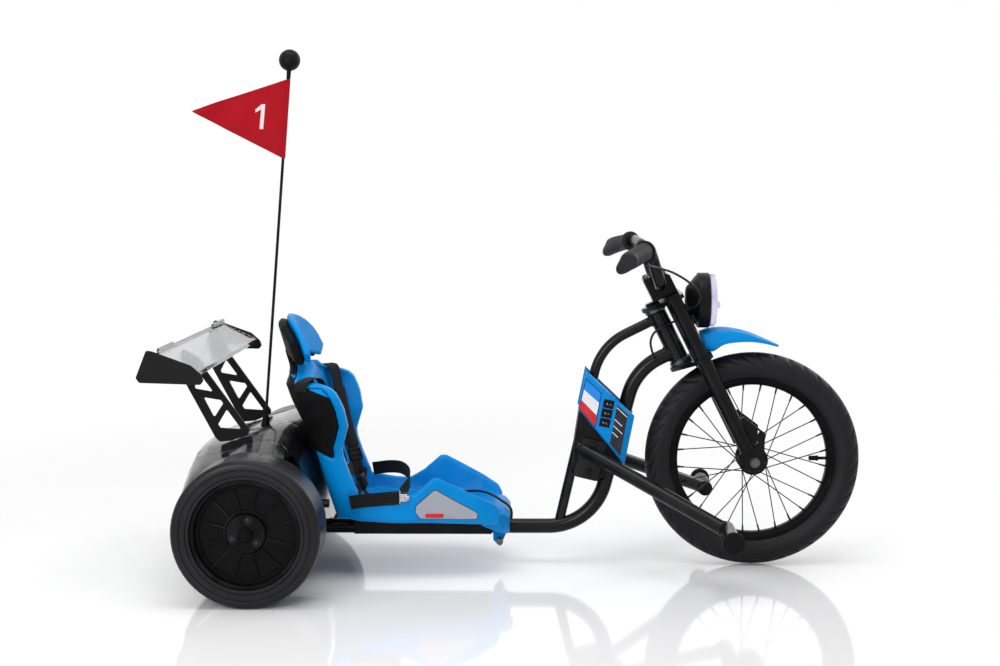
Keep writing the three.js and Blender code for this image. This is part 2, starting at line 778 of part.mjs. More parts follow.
function rearFrame() {
  const upright = wrapShape([[0, rearAxleZ, carrierRadius],
    [mainTubeRear, mainTubeZ, crossTubeRadius + plateCorner]], [[[0, rearAxleZ, axleShaftRadius + fit]]], round);
  const plates = [-1, 1].map((s) => plate(upright, s > 0 ? rearPlateAt : -rearPlateAt - rearPlateThick,
    s > 0 ? rearPlateAt + rearPlateThick : -rearPlateAt));
  const cross = crossBar(mainTubeRear, mainTubeZ, -rearPlateAt, rearPlateAt, crossTubeRadius, round);
  const stays = [-1, 1].flatMap((s) => {
    const bend = new THREE.Vector3(stayBend, s * stayAt, stayZ);
    return [bar(new THREE.Vector3(mainTubeRear, s * stayAt, mainTubeZ), bend, stayRadius),
      bar(bend.clone().setX(stayBend - stayRadius), bend.clone().setX(stayFront), stayRadius)];
  });
  const root = new THREE.Vector3(mainTubeRear, 0, mainTubeZ);
  const socketEnd = root.clone().setX(mainTubeRear + crossTubeRadius * 3);
  const socket = bar(root, socketEnd, mainTubeRadius + plateThick, round);
  const tubeRoom = bar(root.clone().setX(mainTubeRear - fit), root.clone().setX(mainKneeX / 2),
    mainTubeRadius + fit, round);
  return cut(join(...plates, cross, ...stays, socket), tubeRoom);
}

function gearbox() {
  const bore = axleShaftRadius + boreGap;
  const housing = plate(wrapShape([[0, rearAxleZ, gearboxRadius],
    [-motorReach, rearAxleZ, motorRadius + plateCorner]], [[[0, rearAxleZ, bore]]], round),
  gearboxInner, gearboxOuter - barrelWall);
  const spigot = cut(
    crossBar(0, rearAxleZ, gearboxOuter - barrelWall - fit, gearboxOuter, wheelBossRadius, round),
    crossBar(0, rearAxleZ, gearboxOuter - over * 3, gearboxOuter + over, bore, round));
  const motor = crossBar(-motorReach, rearAxleZ, gearboxInner - motorLength, gearboxInner + over, motorRadius, round);
  return join(housing, spigot, motor);
}

part('rear_frame', rearFrame(), satin, 0.45, 0.5);
const axleHalf = wheelMiddle + rearWidth / 2 - dishRecess - runGap * 2;
part('rear_axle', crossBar(0, rearAxleZ, -axleHalf, axleHalf, axleShaftRadius, round), silver, 0.35, 0.9);
const gearboxShape = gearbox();
part('gearbox_left', gearboxShape, black, 0.5);
part('gearbox_right', mirrored(gearboxShape), black, 0.5);

// Rear cover: a moulded shell, open below, over the axle and the two gearboxes
const coverWall = 3.5;
const coverGap = 13; // from the cover's side to the tyre
const coverHalf = tyreInnerAt - coverGap;
const coverEdgeDrop = 44;
// Side profile on the centre line, from the rear edge over the top to the front edge
const coverProfile = [[-148, 78], [-157, 130], [-155, 168], [-144, 205], [-128, 237], [-105, 251], [-60, 261],
  [-12, 277], [20, 286], [42, 288], [57, 281], [77, 240], [93, 198], [101, 145], [103, 78]];
// Across: share of the half width, share of the length left, share of the edge drop
const coverWidthShares = [[0, 1, 0], [0.24, 0.995, 0.03], [0.5, 0.98, 0.12], [0.58, 0.96, 0.24],
  [0.8, 0.93, 0.6], [0.97, 0.88, 0.92], [1, 0.84, 1]];
const footRunShare = 6; // how far the hollow runs out below, in walls
const coverLow = coverProfile[0][1];
const coverHigh = Math.max(...coverProfile.map(([, z]) => z));

// One slice across the cover, moved inwards by the inset
function coverSection(share, lengthShare, dropShare, inset) {
  const middle = (coverProfile[0][0] + coverProfile.at(-1)[0]) / 2;
  const points = coverProfile.map(([x, z]) => new THREE.Vector2(middle + (x - middle) * lengthShare,
    z - ((coverEdgeDrop * dropShare) * (z - coverLow)) / (coverHigh - coverLow)));
  const half = coverHalf - inset;
  return points.map((p, i) => {
    const before = points[Math.max(i - 1, 0)];
    const after = points[Math.min(i + 1, points.length - 1)];
    const way = after.clone().sub(before).normalize();
    const foot = i === 0 || i === points.length - 1;
    const footDrop = foot ? Math.max(inset, 0) * footRunShare : 0;
    return new THREE.Vector3(p.x + way.y * inset, share * half, p.y - way.x * inset - footDrop);
  });
}

function coverLoft(inset) {
  const right = [...coverWidthShares].reverse().slice(0, -1).map(([w, l, d]) => coverSection(-w, l, d, inset));
  const left = coverWidthShares.map(([w, l, d]) => coverSection(w, l, d, inset));
  return loft([...right, ...left]);
}

const axleSlot = 58;
const ventX = [50, 80];
const ventZ = [188, 240];
const ventDepth = 60;
const slotLong = 16;
const slotWide = 3;
function rearCover() {
  const sideSlots = [-1, 1].map((s) => box(-motorReach - motorRadius - over * 2, axleSlot,
    s > 0 ? coverHalf - over * 2 : -coverHalf - over, s > 0 ? coverHalf + over : -coverHalf + over * 2,
    coverLow - over * 2, rearAxleZ + axleSlot));
  const vents = [-1, 1].map((s) => box(ventX[0], ventX[1], s > 0 ? coverHalf - ventDepth : -coverHalf - over,
    s > 0 ? coverHalf + over : -coverHalf + ventDepth, ventZ[0], ventZ[1]));
  const slot = box(-slotLong / 2, slotLong / 2, -slotWide / 2, slotWide / 2, -over * 2, over * 2);
  const slots = [-1, 1].flatMap((s) => [0, 1].map((i) => slot.clone().rotateZ(s * Math.PI / 6)
    .translate(ventX[0] - slotLong * (i * 2 + 1) / 2, s * (coverHalf / 3 + slotLong * i), coverHigh - over)));
  const stayHoles = [-1, 1].map((s) => bar(new THREE.Vector3(stayBend, s * stayAt, stayZ),
    new THREE.Vector3(stayFront, s * stayAt, stayZ), stayRadius + runGap, round));
  const tubeNotch = bar(new THREE.Vector3(mainTubeRear, 0, mainTubeZ),
    new THREE.Vector3(coverProfile.at(-1)[0] + over, 0, mainTubeZ), mainTubeRadius + runGap * 3, round);
  return cut(coverLoft(0), coverLoft(coverWall), ...sideSlots, ...vents, ...slots, tubeNotch, ...stayHoles);
}
part('rear_cover', rearCover(), black, 0.2);

// Wing: lattice struts, a clear board with stepped rear lips, and end plates
const strutAt = coverHalf / 2;
const strutThick = 5;
const strutCorner = 3;
const strutFootFront = new THREE.Vector2(-31, 277);
const strutFootRear = new THREE.Vector2(-88, 268);
const strutTopFront = new THREE.Vector2(-126, 424);
const strutRearBend = new THREE.Vector2(-143, 359);
const strutTopRear = new THREE.Vector2(-160, 440);
const strutHoleRound = 2.5;
// Each hole's corners as shares across the strut, rear to front, and up it
const strutHoleShares = [[[0.2, 0.13], [0.84, 0.1], [0.32, 0.37]], [[0.25, 0.55], [0.7, 0.34], [0.8, 0.5]],
  [[0.24, 0.68], [0.8, 0.62], [0.36, 0.86]]];

function strutPoint(across, up) {
  const low = strutFootRear.clone().lerp(strutFootFront, across);
  const high = strutTopRear.clone().lerp(strutTopFront, across);
  return low.lerp(high, up);
}

const boardFront = new THREE.Vector2(-86, 403);
const boardRear = new THREE.Vector2(-160, 436);
const boardThick = 4;
const boardLip = 11;
const boardStep = 9;
const boardHalf = 308;
const stepAt = 185;
const endplateThick = 4;
const endplateShares = [[0.1, 1, 6], [0.93, 0.42, 5], [1, 0.16, 8], [0.05, 0.03, 8]];
const endplateLength = 110;
const endplateHeight = 54;
const endplateRear = -190;
const endplateLow = 384;

function boardProfile(lipRise) {
  const way = boardRear.clone().sub(boardFront).normalize();
  const normal = new THREE.Vector2(way.y, -way.x).multiplyScalar(Math.sign(way.y) || 1);
  const up = normal.y > 0 ? normal : normal.negate();
  const p = (along2, rise) => boardFront.clone().addScaledVector(way, along2).addScaledVector(up, rise);
  const length = boardFront.distanceTo(boardRear);
  return new THREE.Shape([p(0, -boardLip), p(boardThick, -boardLip), p(boardThick, -boardThick),
    p(length - boardThick, -boardThick), p(length, lipRise), p(length - boardThick, lipRise), p(length - boardThick * 2, 0), p(0, 0)]);
}

function wingBoard() {
  const middle = plate(boardProfile(boardStep / 3), -stepAt, stepAt);
  const ends = [-1, 1].map((s) => plate(boardProfile(boardStep), s > 0 ? stepAt - fit : -boardHalf,
    s > 0 ? boardHalf : -stepAt + fit));
  return join(middle, ...ends);
}

function wingStrut() {
  const corner = (a, u) => {
    const p = strutPoint(a, u);
    return [p.x, p.y, strutCorner];
  };
  const outline = wrapShape([corner(0, 0), corner(1, 0), corner(1, 1), corner(0, 1),
    [strutRearBend.x, strutRearBend.y, strutCorner]],
    strutHoleShares.map((hole) => hole.map(([a, u]) => {
      const p = strutPoint(a, u);
      return [p.x, p.y, strutHoleRound];
    })));
  const web = plate(outline, strutAt, strutAt + strutThick);
  const clear = plate(boardCut(), strutAt - over * 4, strutAt + strutThick + over * 4);
  const foot = box(strutFootRear.x, strutFootFront.x, strutAt - over * 2, strutAt + strutThick,
    strutFootRear.y - over * 2, strutFootFront.y);
  return cut(join(web, foot), coverLoft(-fit), clear);
}

// The space over the wing board's underside, where the struts stop
function boardCut() {
  const way = boardRear.clone().sub(boardFront).normalize();
  const down = new THREE.Vector2(way.y, -way.x).multiplyScalar(-(boardThick + fit));
  const low = down.y < 0 ? down : down.negate();
  const a = boardFront.clone().addScaledVector(way, -boardHalf / 3).add(low);
  const b = boardRear.clone().addScaledVector(way, boardHalf / 3).add(low);
  const lift = low.clone().multiplyScalar(-boardLip * 3 / boardThick);
  return new THREE.Shape([a, b, b.clone().add(lift), a.clone().add(lift)]);
}

function wingEndplate() {
  const circles = endplateShares.map(([a, h, r]) => (
    [endplateRear + a * endplateLength, endplateLow + h * endplateHeight, r]));
  return plate(wrapShape(circles), boardHalf + fit, boardHalf + fit + endplateThick);
}

part('wing_board', wingBoard(), white, 0.1, 0, { transparent: true, opacity: 0.5 });
const strutShape = wingStrut();
part('wing_strut_left', strutShape, black, 0.5);
part('wing_strut_right', mirrored(strutShape), black, 0.5);
const endplateShape = wingEndplate();
part('wing_endplate_left', endplateShape, black, 0.45);
part('wing_endplate_right', mirrored(endplateShape), black, 0.45);

// Flag: a pole with a ball, and a triangular pennant
const poleRadius = 2.7;
const poleAt = -60;
const poleFoot = new THREE.Vector3(-12, poleAt, 262);
const poleTop = new THREE.Vector3(43, poleAt, 934);
const ballRadius = 19.5;
const socketRadius = 6;
const socketHeight = 14;
const pennantDepth = 183;
const pennantHoist = 146;
const pennantDrop = 58;
const pennantThick = 1.2;
const pennantTop = 918;

function polePoint(z) {
  return poleFoot.clone().lerp(poleTop, (z - poleFoot.z) / (poleTop.z - poleFoot.z));
}

function flagPole() {
  const rod = bar(poleFoot, poleTop, poleRadius, 8);
  const collar = bar(polePoint(poleFoot.z - socketHeight), polePoint(poleFoot.z + socketHeight), socketRadius);
  const ball = new THREE.SphereGeometry(ballRadius, 16, 10).rotateX(Math.PI / 2)
    .translate(...polePoint(poleTop.z + ballRadius / 2).toArray());
  return cut(join(rod, collar, ball), coverLoft(-fit));
}

function pennant() {
  const clear = poleRadius + fit;
  const top = polePoint(pennantTop);
  const low = polePoint(pennantTop - pennantHoist);
  const shape = new THREE.Shape([new THREE.Vector2(low.x - clear, low.z), new THREE.Vector2(top.x - clear, top.z),
    new THREE.Vector2(top.x - pennantDepth, pennantTop - pennantDrop)]);
  return plate(shape, poleAt - pennantThick / 2, poleAt + pennantThick / 2);
}

part('flag_pole', flagPole(), black, 0.5);
part('pennant', pennant(), red, 0.8);

// Seat: a double-walled bucket, a black back shell, and a head rest on its own back
const backFootZ = 108;
const backFootX = 128.5;
const backLean = 0.297;
const backPanel = 26;
const seatWall = 12;
const seatLip = 12;
const backShellThick = 15;
const backShellThin = 7;
const backShellGrows = [292, 322];
const rimBand = 16;
const innerCorner = 14;
const outerCorner = 22;
const shellCorner = 38;
const cornerShare = 0.75;
// Height, half width, and how far forward the wings reach
const backStations = [[108, 122, 163], [123, 130, 172], [158, 137, 169], [200, 137, 152], [227, 137, 143],
  [242, 138, 141], [262, 141, 147], [283, 144, 153], [315, 151, 147], [335, 156, 139], [346, 157, 133],
  [354, 156, 124], [359, 153, 111], [363, 145, 98], [366, 125, 90], [369, 100, 86], [373, 80, 84],
  [379, 58, 82], [388, 38, 78]];
const shellFootLine = [[10, 277.6], [150, 210.5]];
const neckTop = 412;
const neckHalf = 30;
const neckFrontHalf = 17;
const neckDepth = 18;
const shellShoulderZ = 354; // where the back shell's side arms end

function backRear(z) {
  return backFootX - backLean * (z - backFootZ);
}

// A U-shaped slice at one height: back panel and side walls with rounded corners
function bucketSection(z, half, front, rear, spec) {
  const { wall, panel, corner, inner } = spec;
  const step = 3;
  const arc = (cx, cy, r, a0) => Array.from({ length: step + 1 }, (_, i) => {
    const a = a0 + (Math.PI / 2) * (i / step);
    return [cx + r * Math.cos(a), cy + r * Math.sin(a)];
  });
  const leftOuter = arc(rear + corner, half - corner, corner, Math.PI / 2);
  const leftInner = arc(rear + panel + inner, half - wall - inner, inner, Math.PI / 2).reverse();
  const left = [[front, half], ...leftOuter];
  const right = left.map(([x, y]) => [x, -y]).reverse();
  const insideRight = leftInner.map(([x, y]) => [x, -y]).reverse();
  const outline = [...left, ...right, [front, -(half - wall)], ...insideRight, ...leftInner, [front, half - wall]];
  return outline.map(([x, y]) => new THREE.Vector3(x, y, z));
}

// Corners stay short of the rim's band where the bucket gets narrow
function cornerRoom(half, depth) {
  return Math.min(half / 3, depth * cornerShare);
}

// The bucket's back as one thick-walled skin, before the back shell's recess is taken out
function seatBack() {
  return loft(backStations.map(([z, half, front]) => {
    const rear = backRear(z);
    const room = cornerRoom(half, front - rear - rimBand);
    return bucketSection(z, half, front, rear, { wall: seatWall + seatLip, panel: backPanel,
      corner: Math.min(outerCorner, room), inner: Math.min(innerCorner, room / 2) });
  }));
}

// How thick the back shell is behind the panel at a height
function backShellDepth(z) {
  const [low, high] = backShellGrows;
  const within = THREE.MathUtils.clamp(z, low, high);
  return THREE.MathUtils.mapLinear(within, low, high, backShellThin, backShellThick);
}

// The side view of everything above the back shell's slanted lower edge
function aboveShellFoot(lift) {
  const [rearLow, frontLow] = shellFootLine;
  const high = restTop;
  return plate(new THREE.Shape([new THREE.Vector2(rearLow[0], rearLow[1] + lift),
    new THREE.Vector2(frontLow[0], frontLow[1] + lift), new THREE.Vector2(frontLow[0], high),
    new THREE.Vector2(rearLow[0], high)]), -restHalf * 2, restHalf * 2);
}

// The back shell, or with a growth the room that it takes out of the bucket's sides
function backShell(grow) {
  const skin = loft(backStations.map(([z, half, front]) => {
    const depth = backShellDepth(z) - fit;
    const rear = backRear(z) - backShellDepth(z) - grow;
    const end = front - rimBand - fit + grow;
    const room = cornerRoom(half, front - backRear(z) - rimBand);
    const outer = half - runGap + (grow > 0 ? over : 0);
    return bucketSection(z, outer, end, rear, { wall: outer - half + seatLip - fit + grow,
      panel: depth + grow * 2, corner: Math.min(shellCorner, half / 3, (end - rear) / 2),
      inner: Math.max(Math.min(outerCorner, room) - fit - grow, fit) });
  }));
  return cut(common(skin, aboveShellFoot(grow > 0 ? 0 : fit)), shoulderRoom(grow));
}

// The space over the shell's side arms, ahead of its panel, where the bucket's shoulders show
function shoulderRoom(grow) {
  const low = shellShoulderZ + grow;
  const high = restTop;
  const front = shellFootLine[1][0];
  const outline = [[backRear(low) - fit + grow, low], [front, low], [front, high],
    [backRear(high) - fit + grow, high]];
  const side = new THREE.Shape(outline.map(([x, z]) => new THREE.Vector2(x, z)));
  return plate(side, -restHalf * 2, restHalf * 2);
}

// Base: a tray whose side walls rise into knee wings
const trayWall = 13;
// x, half width, underside, side top, floor
const trayStations = [[124, 118, 124, 158, 140], [145, 134, 110, 157, 126], [175, 146, 107, 151, 120],
  [215, 147, 105, 144, 117], [245, 146, 103.5, 142, 116], [275, 143, 102.5, 160, 115], [306, 141, 101.5, 188, 115],
  [316, 141, 101, 190, 115], [345, 138, 100, 175, 115], [390, 129, 98, 152, 116], [422, 113, 94, 134, 113],
  [430, 108, 88, 119, 108]];
const noseStations = [[395, 98, 90, 112], [420, 94, 78, 120], [436, 84, 70, 119], [447, 62, 68, 110]];

function traySection([x, half, low, top, floor]) {
  const chamfer = (top - low) / 6;
  const left = [[half - chamfer, low], [half, low + chamfer], [half, top - chamfer / 2], [half - trayWall / 3, top],
    [half - trayWall, top - chamfer / 3], [half - trayWall * (3 / 2), floor + chamfer / 4],
    [half - trayWall * 2, floor]];
  const right = left.map(([y, z]) => [-y, z]).reverse();
  return [...left, ...right].map(([y, z]) => new THREE.Vector3(x, y, z));
}

function noseSection([x, half, low, top]) {
  const edge = (top - low) / 5;
  const outline = [[-half + edge, low], [half - edge, low], [half, low + edge], [half, top - edge],
    [half - edge * 2, top], [-half + edge * 2, top], [-half, top - edge], [-half, low + edge]];
  return outline.map(([y, z]) => new THREE.Vector3(x, y, z));
}

function seatShell() {
  return join(seatBack(), loft(trayStations.map(traySection)), loft(noseStations.map(noseSection)));
}

// Head rest: a slice swept round its plan, tall in the middle, with the lower corners of its tips cut away
const restHalf = 97;
const restBackX = 47;
const restTipX = 74;
const restTop = 480;
const restTipTop = 414;
const restLow = 392;
const restMeanZ = 436;
const restThick = 11;
const restShellThick = 20;
const restShellInset = 9; // from the rest's top edge to its black shell's
const restShellDrop = 3; // and at the low edge
// Shares: across the half width, back to tip, tip to top, and low edge to tip
const restShares = [[0, 0, 1, 0.57], [0.2, 0.05, 0.98, 0.54], [0.42, 0.27, 0.91, 0.39], [0.62, 0.54, 0.77, 0.17],
  [0.78, 0.76, 0.58, 0], [0.9, 0.9, 0.36, 0.45], [1, 1, 0, 0.85]];
const restShellStations = 5; // how many of them its black shell reaches

// The stations from the right tip to the left one
function restPlan(count) {
  const left = restShares.slice(0, count).map(([across, deep, high, low]) => ({
    across,
    x: restBackX + deep * (restTipX - restBackX),
    y: across * restHalf,
    top: restTipTop + high * (restTop - restTipTop),
    low: restLow + low * (restTipTop - restLow),
  }));
  return [...left.slice(1).reverse().map((s) => ({ ...s, y: -s.y })), ...left];
}

function restSweep(count, offset, thick, topShift, lowShift) {
  const plan = restPlan(count);
  return loft(plan.map((s, i) => {
    const before = plan[Math.max(i - 1, 0)];
    const after = plan[Math.min(i + 1, plan.length - 1)];
    const out = new THREE.Vector2(before.y - after.y, after.x - before.x).normalize();
    const [top, low] = [s.top + topShift * (1 + s.across), s.low + lowShift];
    const at = (n, z) => new THREE.Vector3(s.x + out.x * n - backLean * (z - restMeanZ), s.y + out.y * n, z);
    const edge = Math.min(thick / 3, (top - low) / 4);
    const far = offset + thick;
    return [at(offset, low + edge), at(offset, top - edge), at(offset + edge, top), at(far - edge, top),
      at(far, top - edge), at(far, low + edge), at(far - edge, low), at(offset + edge, low)];
  }));
}

function restRoom() {
  return restSweep(restShares.length, -fit, restThick + fit * 2, fit, -fit);
}

function seatBackShell() {
  const head = restSweep(restShellStations, restThick + fit, restShellThick, -restShellInset, -restShellDrop);
  const neckZ = backStations.at(-1)[0] - over * 2;
  const spine = loft([neckZ, neckTop].map((z) => {
    const rear = backRear(z) - backShellThick;
    const front = rear + backShellThick - fit;
    return [[rear, -neckHalf], [front, -neckHalf], [front, neckHalf], [rear, neckHalf]]
      .map(([x, y]) => new THREE.Vector3(x, y, z));
  }));
  return cut(join(backShell(0), head, spine), restRoom());
}

function headRest() {
  return restSweep(restShares.length, 0, restThick, 0, 0);
}

function seatFront() {
  const neck = loft([backStations.at(-1)[0] - over, neckTop - over].map((z) => {
    const rear = backRear(z);
    const front = rear + neckDepth;
    return [[rear, -neckFrontHalf], [front, -neckFrontHalf], [front, neckFrontHalf], [rear, neckFrontHalf]]
      .map(([x, y]) => new THREE.Vector3(x, y, z));
  }));
  const headShellRoom = restSweep(restShellStations, restThick, restShellThick + fit * 2,
    fit - restShellInset, -restShellDrop - fit);
  return cut(join(seatShell(), neck), backShell(fit), restRoom(), headShellRoom, underSeat());
}

// Seat runner: a channel over the main tube, with a blue front clamp and its bolt and knob
const runnerRear = 150;
const runnerFront = 412;
const runnerHalf = 24;
const runnerLow = 60;
const runnerHigh = 97;
const clampRear = 415;
const clampLow = 38;
const clampHalf = 30;
const clampBoltRadius = 4;
const knobRadius = 6.5;

function underSeat() {
  return box(runnerRear - runGap, clampFront + over, -runnerHalf - fit, runnerHalf + fit,
    runnerLow - over, runnerHigh + fit);
}

function seatRunner() {
  const tubeRoom = mainTubeRadius + boreGap;
  const outer = box(runnerRear, runnerFront, -runnerHalf, runnerHalf, runnerLow, runnerHigh);
  const inner = box(runnerRear - over, runnerFront + over, -tubeRoom, tubeRoom,
    runnerLow - over, mainTubeZ + tubeRoom);
  return cut(outer, inner);
}

const clampTop = mainTubeZ + mainTubeRadius;
const clampMiddle = (clampRear + clampFront) / 2;
const clampBoltZ = clampLow + over * 2;

function seatClamp() {
  const room = mainTubeRadius + boreGap;
  const side = new THREE.Shape([[clampRear, clampTop], [clampRear, clampLow + over * 2],
    [clampRear + over, clampLow + over], [clampFront - over * 2, clampLow],
    [clampFront, mainTubeZ - over], [clampFront, clampTop]].map(([x, z]) => new THREE.Vector2(x, z)));
  const body = plate(side, -clampHalf, clampHalf);
  const hollow = box(clampRear - over, clampFront + over, -room, room, mainTubeZ - room, mainTubeZ + room + over);
  const noseRoom = loft(noseStations.map(([x, half, low, top]) => noseSection([x, half + fit, low - fit,
    top + fit])));
  return cut(body, hollow, noseRoom,
    crossBar(clampMiddle, clampBoltZ, -clampHalf - over, clampHalf + over, clampBoltRadius + fit));
}

function clampBolt() {
  const rod = crossBar(clampMiddle, clampBoltZ, -clampHalf - over, clampHalf + over, clampBoltRadius);
  const knob = crossBar(clampMiddle, clampBoltZ, -clampHalf - over * 3, -clampHalf - fit, knobRadius);
  const head = crossBar(clampMiddle, clampBoltZ, clampHalf + fit, clampHalf + over, knobRadius, 6);
  return join(rod, knob, head);
}

part('seat_shell', seatFront(), blue, 0.3);
part('seat_back_shell', seatBackShell(), black, 0.7);
part('headrest', headRest(), blue, 0.3);
part('seat_runner', seatRunner(), satin, 0.5, 0.4);
part('seat_clamp', seatClamp(), blue, 0.35);
part('clamp_bolt', clampBolt(), silver, 0.35, 0.9);

// Harness: shoulder straps with pads, a waist web, lap straps, buckle, and the pull strap over the nose
const strapWidth = 25;
const strapThick = 2.4;
const padWidth = 34;
const padThick = 8;
const padTop = 325;
const padLow = 212;
const strapTilt = THREE.MathUtils.degToRad(36); // a strap faces inwards by this much
// Over the left shoulder, from where it leaves the back to where the strap hangs before the panel
const shoulderPoints = [[54, 112, 370.1], [64, 112, 369.9], [80, 111, 370], [90, 109, 369.6], [98, 106.5, 366],
  [102, 104, 359], [104, 101, 350]];
// Shares of the full tilt and of the shoulder's fall at each of those points
const shoulderTurnShares = [[0, 1], [0, 1], [0, 1], [0.1, 0.9], [0.3, 0.6], [0.5, 0.4], [0.8, 0]];
const shoulderFall = 0.12;
// Where it hangs: height, distance from the middle, and distance ahead of the back panel's face
const hangRows = [[325, 97, 19], [300, 95, 17], [260, 92, 14.2], [212, 90, 13.8], [175, 88, 12]];
const waistZ = 172;
const waistHalf = 84;
const lapNear = [[156, 141.7, 143], [175, 147.9, 147], [215, 148.8, 151], [248, 148, 153.5]];
const lapFar = [[172, 131.4, 160], [188, 125, 163], [205, 112, 167], [232, 78, 171], [252, 28, 166],
  [254, -18, 156], [245, -56, 148], [244, -84, 148]];
const upright = new THREE.Vector3(0, 0, 1);
const leaning = new THREE.Vector3(-backLean, 0, 1);

function panelFace(z) {
  return backRear(z) + backPanel;
}

// The direction across a strap, turned inwards by one share and falling outwards by another
function strapAcross(turn, fall = 0) {
  return new THREE.Vector3(Math.sin(strapTilt * turn), Math.cos(strapTilt * turn), -shoulderFall * fall);
}

function hangPoint([z, y, ahead]) {
  return [panelFace(z) + ahead, y, z, strapAcross(1)];
}

function shoulderStrap() {
  const top = shoulderPoints.map(([x, y, z], i) => [x, y, z, strapAcross(...shoulderTurnShares[i])]);
  const pad = ribbon(hangRows.filter(([z]) => z <= padTop && z >= padLow).map(hangPoint), padWidth, padThick);
  return join(ribbon([...top, ...hangRows.map(hangPoint)], strapWidth, strapThick), pad);
}

// The web across the small of the back carries both straps' lower ends
function shoulderStraps() {
  const strap = shoulderStrap();
  const x = panelFace(waistZ) + strapThick / 2 + fit;
  const [endX, endY] = hangPoint(hangRows.at(-1));
  const left = [[x, 0, waistZ, leaning], [x, waistHalf - strapWidth, waistZ, leaning],
    [x + strapThick, waistHalf - padThick, waistZ, leaning], [endX, endY, waistZ, leaning]];
  const web = ribbon(left, strapWidth, strapThick);
  return join(strap, mirrored(strap), web, mirrored(web));
}

function lapStrap(points, sign) {
  return ribbon(points.map(([x, y, z]) => [x, sign * y, z, upright]), strapWidth, strapThick);
}

const buckleLong = 36;
const buckleWide = 32;
const buckleThick = 10;
function harnessBuckle() {
  const [x, y, z] = lapFar.at(-1);
  return box(x - buckleWide / 2, x + buckleWide / 2, y - buckleLong - fit, y - fit,
    z - buckleThick / 2, z + buckleThick / 2);
}

const pullRadius = 2.5;
const pullStrapPoints = [[350, 104, 117.9], [364, 92, 121.5], [380, 66, 127], [400, 30, 131], [418, -6, 130],
  [431, -29, 126], [441, -39, 121.5], [448.5, -44, 114.5], [450.6, -45, 106], [449.9, -45, 94]];
function pullStrap() {
  return tube(cordPath(pullStrapPoints, 2), pullRadius, cordSides);
}

part('shoulder_straps', shoulderStraps(), webbing, 0.9);
part('lap_strap_left', lapStrap(lapFar, 1), webbing, 0.9);
part('lap_strap_right', lapStrap(lapNear, -1), webbing, 0.9);
part('harness_buckle', harnessBuckle(), silver, 0.4, 0.8);
part('pull_strap', pullStrap(), webbing, 0.8);

// Stem, handlebar, grips and the twist throttle
const barRadius = 11.1;
const barAhead = 26;
const barUp = 32;
const stemRear = 2.5;
const stemFront = 52;
const stemTall = 50;
const stemShort = 38;
const stemHalf = 32;
const stemNeck = 5;
const stemBoltRadius = 4.5;
const barFlat = 88;
// Corners on the left: distance behind the front axle, half span and height
const barCorners = [[201, 112, 603], [212, 228, 609], [253, 341, 594]];
const [barKnee, barShoulder, barEnd] = barCorners.map(([back, y, z]) => (
  new THREE.Vector3(wheelbase - back, y, z)));
const lowBend = 30;
const highBend = 34;
const gripBend = 40;
const gripRadius = 16;
const gripWing = 14;
const flangeRadius = 19.5;
const flangeThick = 7;
const gripStartShare = 0.16;
const housingLength = 12;

function barCentre(side) {
  return steerPoint(barAhead, side * barFlat, stackTop + barUp);
}

function barPath() {
  const flip = (p) => new THREE.Vector3(p.x, -p.y, p.z);
  const tip = barEnd.clone().addScaledVector(gripWay, -over);
  const half = [barCentre(1), barKnee, barShoulder, tip];
  return bentPath([...half.map(flip).reverse(), ...half],
    [gripBend, highBend, lowBend, lowBend, highBend, gripBend]);
}

function stemClamp() {
  const low = stackTop + fit;
  const high = stackTop + stemTall;
  const side = new THREE.Shape([[stemRear, low + stemNeck], [stemFront, low], [stemFront, stackTop + stemShort],
    [(stemFront + barAhead) / 2, high], [stemRear, high]].map(([t, u]) => new THREE.Vector2(t, u)));
  const block = plate(side, -stemHalf, stemHalf);
  const hole = new THREE.CylinderGeometry(barRadius + fit, barRadius + fit, stemHalf * 2 + over, round)
    .translate(barAhead, 0, stackTop + barUp);
  const nutRoom = steerBar(0, 0, low - over, stackTop + nutHeight + over, nutRadius + runGap);
  const boltsAt = [stemRear + over, stemFront - over * 3 / 2];
  const bolts = [-1, 1].flatMap((s) => boltsAt.map((t) => steerBar(t, s * stemHalf / 2,
    stackTop + stemShort - over, high + over / 2, stemBoltRadius, 6)));
  return raked(join(cut(block, hole, nutRoom), ...bolts));
}

// Shares: along the grip, of its radius, and of its palm wing
const gripShares = [[0, 1, 0], [0.3, 1, 0.15], [0.6, 1.02, 0.6], [0.85, 1, 1], [0.96, 0.94, 1], [1, 0.8, 0.8]];

// A grip along the bar: round at the flange, with a palm wing that grows towards the end
function gripBody(from, to, wing) {
  const way = to.clone().sub(from).normalize();
  const back = new THREE.Vector3(-1, 0, -1).normalize();
  const palm = back.addScaledVector(way, -back.dot(way)).normalize();
  const other = way.clone().cross(palm);
  const rings = gripShares.map(([share, size, wingShare]) => Array.from({ length: round }, (_, i) => {
    const a = (2 * Math.PI * i) / round;
    const reach = gripRadius * size + wing * wingShare * Math.max(0, Math.cos(a)) ** 6;
    return from.clone().lerp(to, share).addScaledVector(palm, reach * Math.cos(a))
      .addScaledVector(other, reach * Math.sin(a));
  }));
  return loft(rings);
}

const gripFrom = barShoulder.clone().lerp(barEnd, gripStartShare);
const gripWay = barEnd.clone().sub(barShoulder).normalize();
const boreTo = barEnd.clone().addScaledVector(gripWay, -over / 2);

function barBore() {
  return bar(gripFrom.clone().addScaledVector(gripWay, -flangeThick * 3), boreTo, barRadius + boreGap, round);
}

function gripFlange(shift, thick) {
  const a = gripFrom.clone().addScaledVector(gripWay, shift);
  return bar(a, a.clone().addScaledVector(gripWay, thick), flangeRadius, round);
}

function leftGrip() {
  return cut(join(gripBody(gripFrom, barEnd, gripWing), gripFlange(-flangeThick / 2, flangeThick)), barBore());
}

